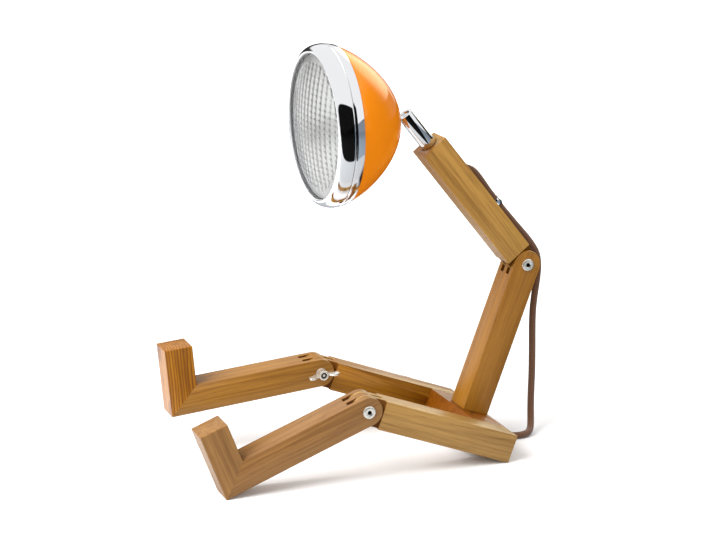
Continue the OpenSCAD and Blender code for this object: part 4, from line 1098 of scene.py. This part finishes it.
def lens_tree():
    inputs = {"Dome Radius": 68.4, "Rim Radius": 72.8, "Rise": 9.0, "Thickness": 4.0}
    inputs |= {"Seat Height": 89.9, "Column Pitch": 9.4, "Row Pitch": 5.4, "Flute Depth": 0.28}
    inputs |= {"Row Depth": 0.42, "Flute Reach": 62.0, "Finish": "Material"}
    tree, given, out = new_tree(
        "fluted_lens", "GeometryNodeTree", inputs, {"Geometry": "Geometry"}
    )
    sizes = {"Size X": 1.0, "Size Y": 1.0, "Vertices X": 321, "Vertices Y": 221}
    grid = add_node(tree, "GeometryNodeMeshGrid", sizes).outputs["Mesh"]
    spot = split_axes(add_node(tree, "GeometryNodeInputPosition").outputs[0])
    around, along = times(plus(spot[0], 0.5), 2 * math.pi), plus(spot[1], 0.5)
    # The outline in five parts: out over the dome, over the rim, down, and back the same way
    ends = (0.0, 0.46, 0.485, 0.515, 0.54, 1.0)
    out_dome, out_rim, down, back_rim, back_dome = (
        remap(along, start, end) for start, end in zip(ends, ends[1:])
    )
    dome_r, ledge = given["Dome Radius"], minus(given["Rim Radius"], given["Dome Radius"])
    radius = plus(times(dome_r, out_dome), times(ledge, out_rim))
    radius = minus(minus(radius, times(ledge, back_rim)), times(dome_r, back_dome))
    radius = calc("MAXIMUM", radius, 0.0)
    share = calc("DIVIDE", radius, dome_r)
    dome = times(given["Rise"], minus(1.0, times(share, share), clamp=True))
    height = plus(dome, given["Seat Height"], times(given["Thickness"], minus(1.0, down)))
    x, y = times(radius, calc("COSINE", around)), times(radius, calc("SINE", around))
    columns = flutes(x, given["Column Pitch"], given["Flute Depth"])
    rows = flutes(y, given["Row Pitch"], given["Row Depth"])
    reach = given["Flute Reach"]
    fade = remap(radius, minus(reach, FADE), reach, 1.0, 0.0, True)
    inside = remap(along, 0.53, 0.56, 0.12, 1.0)
    height = minus(height, times(plus(columns, rows), fade, inside))
    place = add_node(tree, "ShaderNodeCombineXYZ", {0: x, 1: y, 2: height}).outputs[0]
    inputs = {"Geometry": grid, "Position": place}
    rolled = add_node(tree, "GeometryNodeSetPosition", inputs).outputs[0]
    inputs = {"Geometry": rolled, "Distance": LENS_WELD}
    closed = add_node(tree, "GeometryNodeMergeByDistance", inputs).outputs[0]
    end_tree(closed, given["Finish"], out)
    return tree


def grow(name, tree, values, start=None):
    """Runs a geometry tree on a start mesh, with its inputs set by name, as a plain mesh."""
    seed = start or new_piece(name, [(0, 0, 0)], [])
    seed.name = name
    modifier = seed.modifiers.new("grow", "NODES")
    modifier.node_group = tree
    for item in tree.interface.items_tree:
        if item.item_type == "SOCKET" and item.in_out == "INPUT" and item.name in values:
            modifier[item.identifier] = values[item.name]
    return plain_mesh(seed)


# %% Lens
lens = grow("fluted_glass", lens_tree(), {"Finish": lens_glass, "Column Pitch": 9.4})
carry(lens, HEAD)
tidy_shell(lens, 60)
fit(lens, lens_glass, "head", "lens")
print("the lens has", len(lens.data.polygons), "faces")

# %% [markdown]
# ## Things that repeat round an axis
#
# The toothed washer under the bowl and the spring clips behind the reflector are one small item
# repeated round a centre. A tree places copies of whatever mesh it is given: as many points as
# copies, each one turned a step further about Z. The same tree serves both rings.


# %% Ring tree
def ring_tree():
    inputs = {"Item": "Geometry", "Count": "Int", "First Angle": "Float", "Finish": "Material"}
    tree, given, out = new_tree("ring_of", "GeometryNodeTree", inputs, {"Geometry": "Geometry"})
    points = add_node(tree, "GeometryNodePoints", {"Count": given["Count"]}).outputs[0]
    index = add_node(tree, "GeometryNodeInputIndex").outputs[0]
    step = calc("DIVIDE", 2 * math.pi, given["Count"])
    angle = plus(times(index, step), given["First Angle"])
    turn = add_node(tree, "ShaderNodeCombineXYZ", {2: angle}).outputs[0]
    inputs = {"Points": points, "Instance": given["Item"], "Rotation": turn}
    copies = add_node(tree, "GeometryNodeInstanceOnPoints", inputs).outputs[0]
    end_tree(copies, given["Finish"], out)
    return tree


def slab_item(name, outline, low, high, ease):
    """A small flat item: its outline in X and Y, its thickness along Z, edges eased."""
    points = [(x, y, z) for z in (low, high) for x, y in outline]
    item = new_piece(name, points, slab_faces(len(outline)))
    with editing(item.data) as form:
        bmesh.ops.recalc_face_normals(form, faces=form.faces)
        sharp = [e for e in form.edges if e.calc_face_angle(0) > math.radians(40)]
        bevel(form, sharp, ease, 2)
    shade(item.data, 40)
    return item


RING = ring_tree()
print("ring tree has", len(RING.nodes), "nodes")

# %% Toothed washer and spring clips
tooth = [(3.35, -0.88), (4.4, -1.05), (5.2, -0.62), (5.2, 0.62), (4.4, 1.05), (3.35, 0.88)]
tooth_item = slab_item("tooth", tooth, 11.6, 12.45, 0.12)
teeth = {"Count": 12, "First Angle": 0.0, "Finish": chrome}
washer = grow("toothed_washer", RING, teeth, tooth_item)
carry(washer, HEAD)
fit(washer, chrome, "head", "stud_washer")
clip = [(71.5, -7), (75.3, -7), (75.4, 0), (75.3, 7), (71.5, 7), (71.9, 0)]
clip_item = slab_item("clip", clip, 88.15, 89.05, 0.2)
four = {"Count": 4, "First Angle": math.pi / 4, "Finish": zinc}
clips = grow("spring_clips", RING, four, clip_item)
carry(clips, HEAD)
fit(clips, zinc, "head", "bezel_clips")
print("the washer has 12 teeth and the bezel 4 clips")

# %% [markdown]
# ## Neck, ball and stud
#
# The neck is a chrome tube that turns on a hollow nipple in the arm. A ball sits in its top,
# pressed up by a spring, and the ball's stud comes out through a slot in the tube's front. The
# tube is the CAD solid with eased edges. The stud and its ball are turned from one bar, with a
# bore for the lead.

# %% Neck pieces
BALL_R, BORE_R, STUD_R = 6, 1.65, 3.2
tube = eased_copy("neck_tube", 0.3, 2, 0.35)
fit(tube, chrome, "neck_tube", "neck_tube")
ball = [(BORE_R, -5.75)]
for a in (math.radians(degrees) for degrees in range(18, 148, 5)):
    ball.append((BALL_R * math.sin(a), -BALL_R * math.cos(a)))
ball += [(STUD_R, 5.2), (STUD_R, 20.4), (2.9, 20.85), (BORE_R, 20.85)]
stud = turned("ball_and_stud", ball, HEAD, 64, closed=True)
fit(stud, chrome, "head", "ball_stud")
nut_line = [(3.3, 15.35), (5.2, 15.35), (5.9, 15.8, "hex"), (5.9, 19.8, "hex"), (5.2, 20.25)]
stud_nut = turned("hex_nut", nut_line + [(3.3, 20.25)], HEAD, 48, closed=True)
fit(stud_nut, zinc, "head", "stud_nut")
dress(brass, "neck_insert", "neck_nipple", "nipple_ring")
dress(coated["nylon"], "neck_glide", "ball_seat")
dress(coated["lead_sleeve"], "arm_lead", "head_lead")
dress(zinc, "seat_spring", "torso_screw")
print("the tube has", len(tube.data.polygons), "faces")

# %% [markdown]
# ## Screws
#
# Small screws come in pairs, so a second tree repeats an item along a line: a count, and a step
# from each copy to the next. The item is a pan-head screw with a cross slot. It is modelled once
# at its true size, and the slot is cut as a valley in the head's own faces.


# %% Row tree and screw
def row_tree():
    inputs = {"Item": "Geometry", "Count": "Int", "Step": "Vector", "Finish": "Material"}
    tree, given, out = new_tree("row_of", "GeometryNodeTree", inputs, {"Geometry": "Geometry"})
    line = add_node(tree, "GeometryNodePoints", {"Count": given["Count"]}).outputs[0]
    inputs = {0: given["Step"], "Scale": add_node(tree, "GeometryNodeInputIndex").outputs[0]}
    shift = add_node(tree, "ShaderNodeVectorMath", inputs, operation="SCALE").outputs[0]
    inputs = {"Geometry": line, "Position": shift}
    spread = add_node(tree, "GeometryNodeSetPosition", inputs).outputs[0]
    inputs = {"Points": spread, "Instance": given["Item"]}
    copies = add_node(tree, "GeometryNodeInstanceOnPoints", inputs).outputs[0]
    end_tree(copies, given["Finish"], out)
    return tree


def screw_item(head_r, head_h, shank_r, shank_l):
    """A screw along +Z, its head's underside at 0, with a cross slot in the head."""
    outline = [(0.01, head_h), (0.55 * head_r, head_h * 0.96), (0.85 * head_r, head_h * 0.7)]
    outline += [(head_r, head_h * 0.25), (head_r, 0.0), (shank_r, 0.0), (shank_r, -shank_l + 0.6)]
    outline += [(0.01, -shank_l)]
    screw = turned("screw", outline, Matrix.Scale(1000, 4), 48, crease=40)
    for vertex in screw.data.vertices:
        x, y, z = vertex.co
        in_cross = min(abs(x), abs(y)) < 0.16 * head_r and math.hypot(x, y) < 0.7 * head_r
        if in_cross and z > head_h * 0.5:
            vertex.co.z -= head_h * 0.45
    return screw


ROW = row_tree()
print("row tree has", len(ROW.nodes), "nodes")

# %% [markdown]
# ## The cord's saddle
#
# A small strap of plated steel holds the cord to the arm. It is bent over the cord and has a
# foot on each side, each with a screw. The outline is the strap's edge seen along the arm: up
# over the outside and back along the inside. It is drawn once, made into a slab and eased. A
# third screw, of the same kind but larger, ties the bezel to the bowl from below.

# %% Saddle
CORD_H, BACK, SADDLE_W = 17.7, 14.0, 7.8


def arc(radius, start, end, cuts):
    angles = [math.radians(start + (end - start) * i / cuts) for i in range(cuts + 1)]
    return [(radius * math.cos(a), CORD_H + radius * math.sin(a)) for a in angles]


def tilted_at(x, y, z, tilt):
    """A place with its X axis across the lamp, tilted about it."""
    at = Matrix.Translation((x * MM, y * MM, z * MM))
    return at @ Matrix.Rotation(math.radians(tilt), 4, "X")


strap = [(10.6, BACK), (10.6, BACK + 1.0), (5.5, BACK + 1.0), (4.8, BACK + 1.6)]
strap += arc(4.7, 0, 180, 24) + [(-4.8, BACK + 1.6), (-5.5, BACK + 1.0), (-10.6, BACK + 1.0)]
strap += [(-10.6, BACK), (-4.5, BACK), (-3.8, BACK + 0.5)] + arc(3.7, 180, 0, 24)
strap += [(3.8, BACK + 0.5), (4.5, BACK)]
saddle = slab_item("cord_strap", strap, 63.1, 63.1 + SADDLE_W, 0.22)
carry(saddle, ARM)
fit(saddle, chrome, "upper_arm", "cord_saddle")
pair = {"Count": 2, "Step": (15.4, 0, 0), "Finish": nickel}
screws = grow("saddle_screw_pair", ROW, pair, screw_item(2.2, 0.95, 1.1, 5.5))
carry(screws, ARM @ tilted_at(-7.7, BACK + 1, 67, -90))
fit(screws, nickel, "upper_arm", "saddle_screws")
bush = eased_copy("cord_bush", 0.3, 2, 0.3)
fit(bush, coated["black_rubber"], "upper_arm", "cord_bush")
bezel_screw = screw_item(2.5, 1.15, 1.45, 7.5)
carry(bezel_screw, HEAD @ tilted_at(0, -77.45, 76.9, 90))
bezel_screw.name = "bezel_tie_screw"
fit(bezel_screw, nickel, "head", "bezel_screw")
print("the saddle is", SADDLE_W, "mm wide along the arm")

# %% [markdown]
# ## Switch, plug and straps
#
# The switch is a hand switch in the cord: two moulded halves and a rocker. The plug is a flat
# moulded one with two round pins. Moulded plastic has generous round edges, so these are the
# CAD solids with wide bevels. The straps round the coil are thin rubber and have narrow bevels.


# %% Switch and plug
def moulded(node, width, segments, shortest, finish, body):
    return fit(eased_copy(node, width, segments, shortest), finish, body, node)


SEATED, BROWN = "seat_and_torso", "brown_plastic"
base = moulded("switch_base", 0.7, 3, 0.6, brown_plastic, SEATED)
cover = moulded("switch_cover", 0.7, 3, 0.6, brown_plastic, SEATED)
rocker = moulded("switch_rocker", 0.5, 3, 0.6, brown_plastic, "switch_rocker")
plug = moulded("plug_body", 2.6, 4, 1.5, brown_plastic, SEATED)
pins = moulded("plug_pins", 0.6, 3, 0.3, brass, SEATED)
straps = moulded("coil_straps", 0.25, 2, 0.6, coated["strap_rubber"], SEATED)
dress(zinc, "switch_screws")
print("the plug has", len(plug.data.polygons), "faces")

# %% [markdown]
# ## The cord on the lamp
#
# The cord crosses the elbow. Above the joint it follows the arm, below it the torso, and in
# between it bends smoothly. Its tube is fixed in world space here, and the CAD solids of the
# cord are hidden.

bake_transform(cord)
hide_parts("cord_on_arm", "cord_drop", "cord_tail", "cord_coil", "plug_lead")

# %% [markdown]
# ## The table
#
# The table is one pale sheet. A studio over-exposes such a sheet, so only the lamp's own soft
# shadows are left on it, and the camera here sees it that way too.
#
# Chrome has no colour of its own. It needs something pale and something dark to show, so in a
# studio dark boards stand round the lamp. Here each board is a zone of the room: on the table a
# zone is cut out by straight edges, and in the world by planes through the lamp. The sheet ends
# where the boards begin. Only reflections see any of it.

# %% Table
WHITE, BLACK = (1, 1, 1, 1), (0, 0, 0, 1)


def kinds_of_ray(tree):
    """Three values that are 1 for what the camera sees straight, mirrored and through glass."""
    rays = add_node(tree, "ShaderNodeLightPath").outputs
    return rays["Is Camera Ray"], rays["Is Glossy Ray"], rays["Is Transmission Ray"]


REACH = 9  # metres, from the lamp to the table's edge
table_mesh = bpy.data.meshes.new("table")
corners = [(-REACH, -REACH, 0), (REACH, -REACH, 0), (REACH, REACH, 0), (-REACH, REACH, 0)]
table_mesh.from_pydata(corners, [], [(0, 1, 2, 3)])
table = bpy.data.objects.new("table", table_mesh)
bpy.context.scene.collection.objects.link(table)
pale = bpy.data.materials.new("pale_table")
pale.use_nodes = True
tree = pale.node_tree
tree.nodes.clear()
camera_ray, glossy_ray, glass_ray = kinds_of_ray(tree)
where = add_node(tree, "ShaderNodeTexCoord").outputs["Object"]
axes = split_axes(where)
far = add_node(tree, "ShaderNodeVectorMath", {0: where}, operation="LENGTH").outputs["Value"]


def toward(degrees):
    """A level direction: 0 is +X, the lamp's left, and 90 is +Y, behind it."""
    return (math.cos(math.radians(degrees)), math.sin(math.radians(degrees)), 0.0)


def beyond(degrees, edge, soft):
    """Goes from 0 to 1 where a point lies further that way than the edge, in metres."""
    x, y, _ = toward(degrees)
    return remap(plus(times(axes[0], x), times(axes[1], y)), edge, edge + soft)


pale_part = blend_colour(beyond(0, -0.15, 0.3), (1.4, 1.4, 1.4, 1), (0.52, 0.53, 0.54, 1))
tone = blend_colour(camera_ray, (0.62, 0.62, 0.62, 1), (1.05, 1.05, 1.05, 1))
tone = blend_colour(glossy_ray, tone, pale_part)
near_left = times(beyond(180, 0.22, 0.05), beyond(90, -0.25, 0.1), beyond(270, -0.25, 0.1))
right = times(beyond(90, 0.42, 0.04), beyond(36.87, 0.0, 0.05))
right = calc("MAXIMUM", right, times(beyond(0, 0.415, 0.015), beyond(115, 0, 0.02)))
front = times(beyond(0, 0.415, 0.015), beyond(295, 0, 0.02), beyond(355, 0, 0.03))
behind = times(beyond(159, 0.5, 0.08), beyond(242, 0.0, 0.05), beyond(87, 0.0, 0.05))
rear = times(beyond(90, 0.16, 0.04), beyond(140, 0, 0.05), beyond(62, 0, 0.05))
for zone, colour in (
    (near_left, (0.42, 0.43, 0.45, 1)),
    (right, (0.28, 0.33, 0.39, 1)),
    (front, (0.006, 0.006, 0.006, 1)),
    (behind, (0.1, 0.1, 0.1, 1)),
    (rear, (0.02, 0.02, 0.02, 1)),
):
    tone = blend_colour(times(glossy_ray, zone), tone, colour)
tone = blend_colour(glass_ray, tone, BLACK)
strength = times(camera_ray, remap(far, 0.4, 1.4, 0.0, 0.8))
strength = calc("MAXIMUM", strength, times(glass_ray, 1.3))
matt = add_node(tree, "ShaderNodeBsdfDiffuse", {"Color": tone}).outputs[0]
glow = add_node(tree, "ShaderNodeEmission", {"Color": WHITE, "Strength": strength}).outputs[0]
lit = add_node(tree, "ShaderNodeAddShader", {0: matt, 1: glow}).outputs[0]
add_node(tree, "ShaderNodeOutputMaterial", {"Surface": lit})
table.data.materials.append(pale)
print("the table is", 2 * REACH, "m wide, so its edge is never seen")

# %% [markdown]
# ## The world and the lamps
#
# The world is white for the camera and a plain bright grey for soft light. Its reflections are a
# room of their own: a warm bright window behind the lamp, dark boards low in front and at one
# side, and two dim walls. Two square softboxes give the light itself, a strong one from the
# front and a weak one from the side. They don't show in the chrome, so the room alone decides
# what it shows.

# %% World and lamps
world = bpy.data.worlds.new("studio")
bpy.context.scene.world = world
world.use_nodes = True
tree = world.node_tree
tree.nodes.clear()
camera_ray, glossy_ray, glass_ray = kinds_of_ray(tree)
heading = add_node(tree, "ShaderNodeTexCoord").outputs["Generated"]
up = split_axes(heading)[2]


def facing(normal, low, high, to_low=0.0, to_high=1.0):
    """A value that changes from one side of a plane through the lamp to the other."""
    dot = add_node(tree, "ShaderNodeVectorMath", {0: heading, 1: normal}, operation="DOT_PRODUCT")
    return remap(dot.outputs["Value"], low, high, to_low, to_high, True)


front = times(
    facing((0.713, -0.199, -1.0), -0.012, 0.012),
    facing(toward(295), -0.02, 0.02),
    facing(toward(355), -0.03, 0.03),
)
right = times(facing((0.07, 0.215, -1.0), -0.012, 0.012), facing(toward(0), -0.70, -0.66))
window = facing((-0.596, 0.710, 0.375), 0.9135, 0.9925, 1.05, 4.6)
grey = remap(up, 0.165, 0.20, 0.30, 0.02)
mirrored = plus(times(right, minus(grey, window)), window)
dim = times(facing(toward(157), 0.0, 0.05), facing(toward(198), -0.2, 0.12, 1.0, 0.0))
dim = times(dim, remap(up, 0.42, 0.62, 0.95, 0.0))
behind = times(facing(toward(242), -0.02, 0.02), facing(toward(290), -0.04, 0.04, 1.0, 0.0))
behind = times(behind, remap(up, 0.20, 0.27, 0.96, 0.0))
mirrored = times(mirrored, minus(1.0, dim), minus(1.0, behind), minus(1.006, front))
clear = calc("MAXIMUM", camera_ray, glass_ray)
plain = plus(remap(clear, 0.0, 1.0, 0.78, 1.0), times(glass_ray, 0.42))
strength = plus(plain, times(glossy_ray, minus(mirrored, plain)))
warm = blend_colour(remap(window, 1.2, 3.0), WHITE, (1.0, 0.97, 0.70, 1))
cool = blend_colour(times(glossy_ray, right), warm, (0.88, 1.0, 1.15, 1))
tint = blend_colour(glossy_ray, WHITE, cool)
sky = add_node(tree, "ShaderNodeBackground", {"Color": tint, "Strength": strength}).outputs[0]
add_node(tree, "ShaderNodeOutputWorld", {"Surface": sky})


def softbox(name, at, aim, size, power):
    lamp = bpy.data.lights.new(name, "AREA")
    lamp.shape, lamp.size, lamp.energy = "SQUARE", size, power
    box = bpy.data.objects.new(name, lamp)
    box.location = at
    box.rotation_euler = (Vector(aim) - Vector(at)).to_track_quat("-Z", "Y").to_euler()
    box.visible_glossy = box.visible_transmission = False
    bpy.context.scene.collection.objects.link(box)


softbox("key_softbox", (0.3, -1.35, 1.45), (0, 0.05, 0.15), 1.5, 49)
softbox("fill_softbox", (1.9, 0.6, 1.0), (0, 0.05, 0.2), 1.3, 4)
bpy.context.scene.view_settings.view_transform = "Standard"
print("world and two softboxes are lit")

# %% [markdown]
# ## The end
#
# Every piece is now made, given its finish and put on its body.

# %% Finish
print("the lamp is dressed")
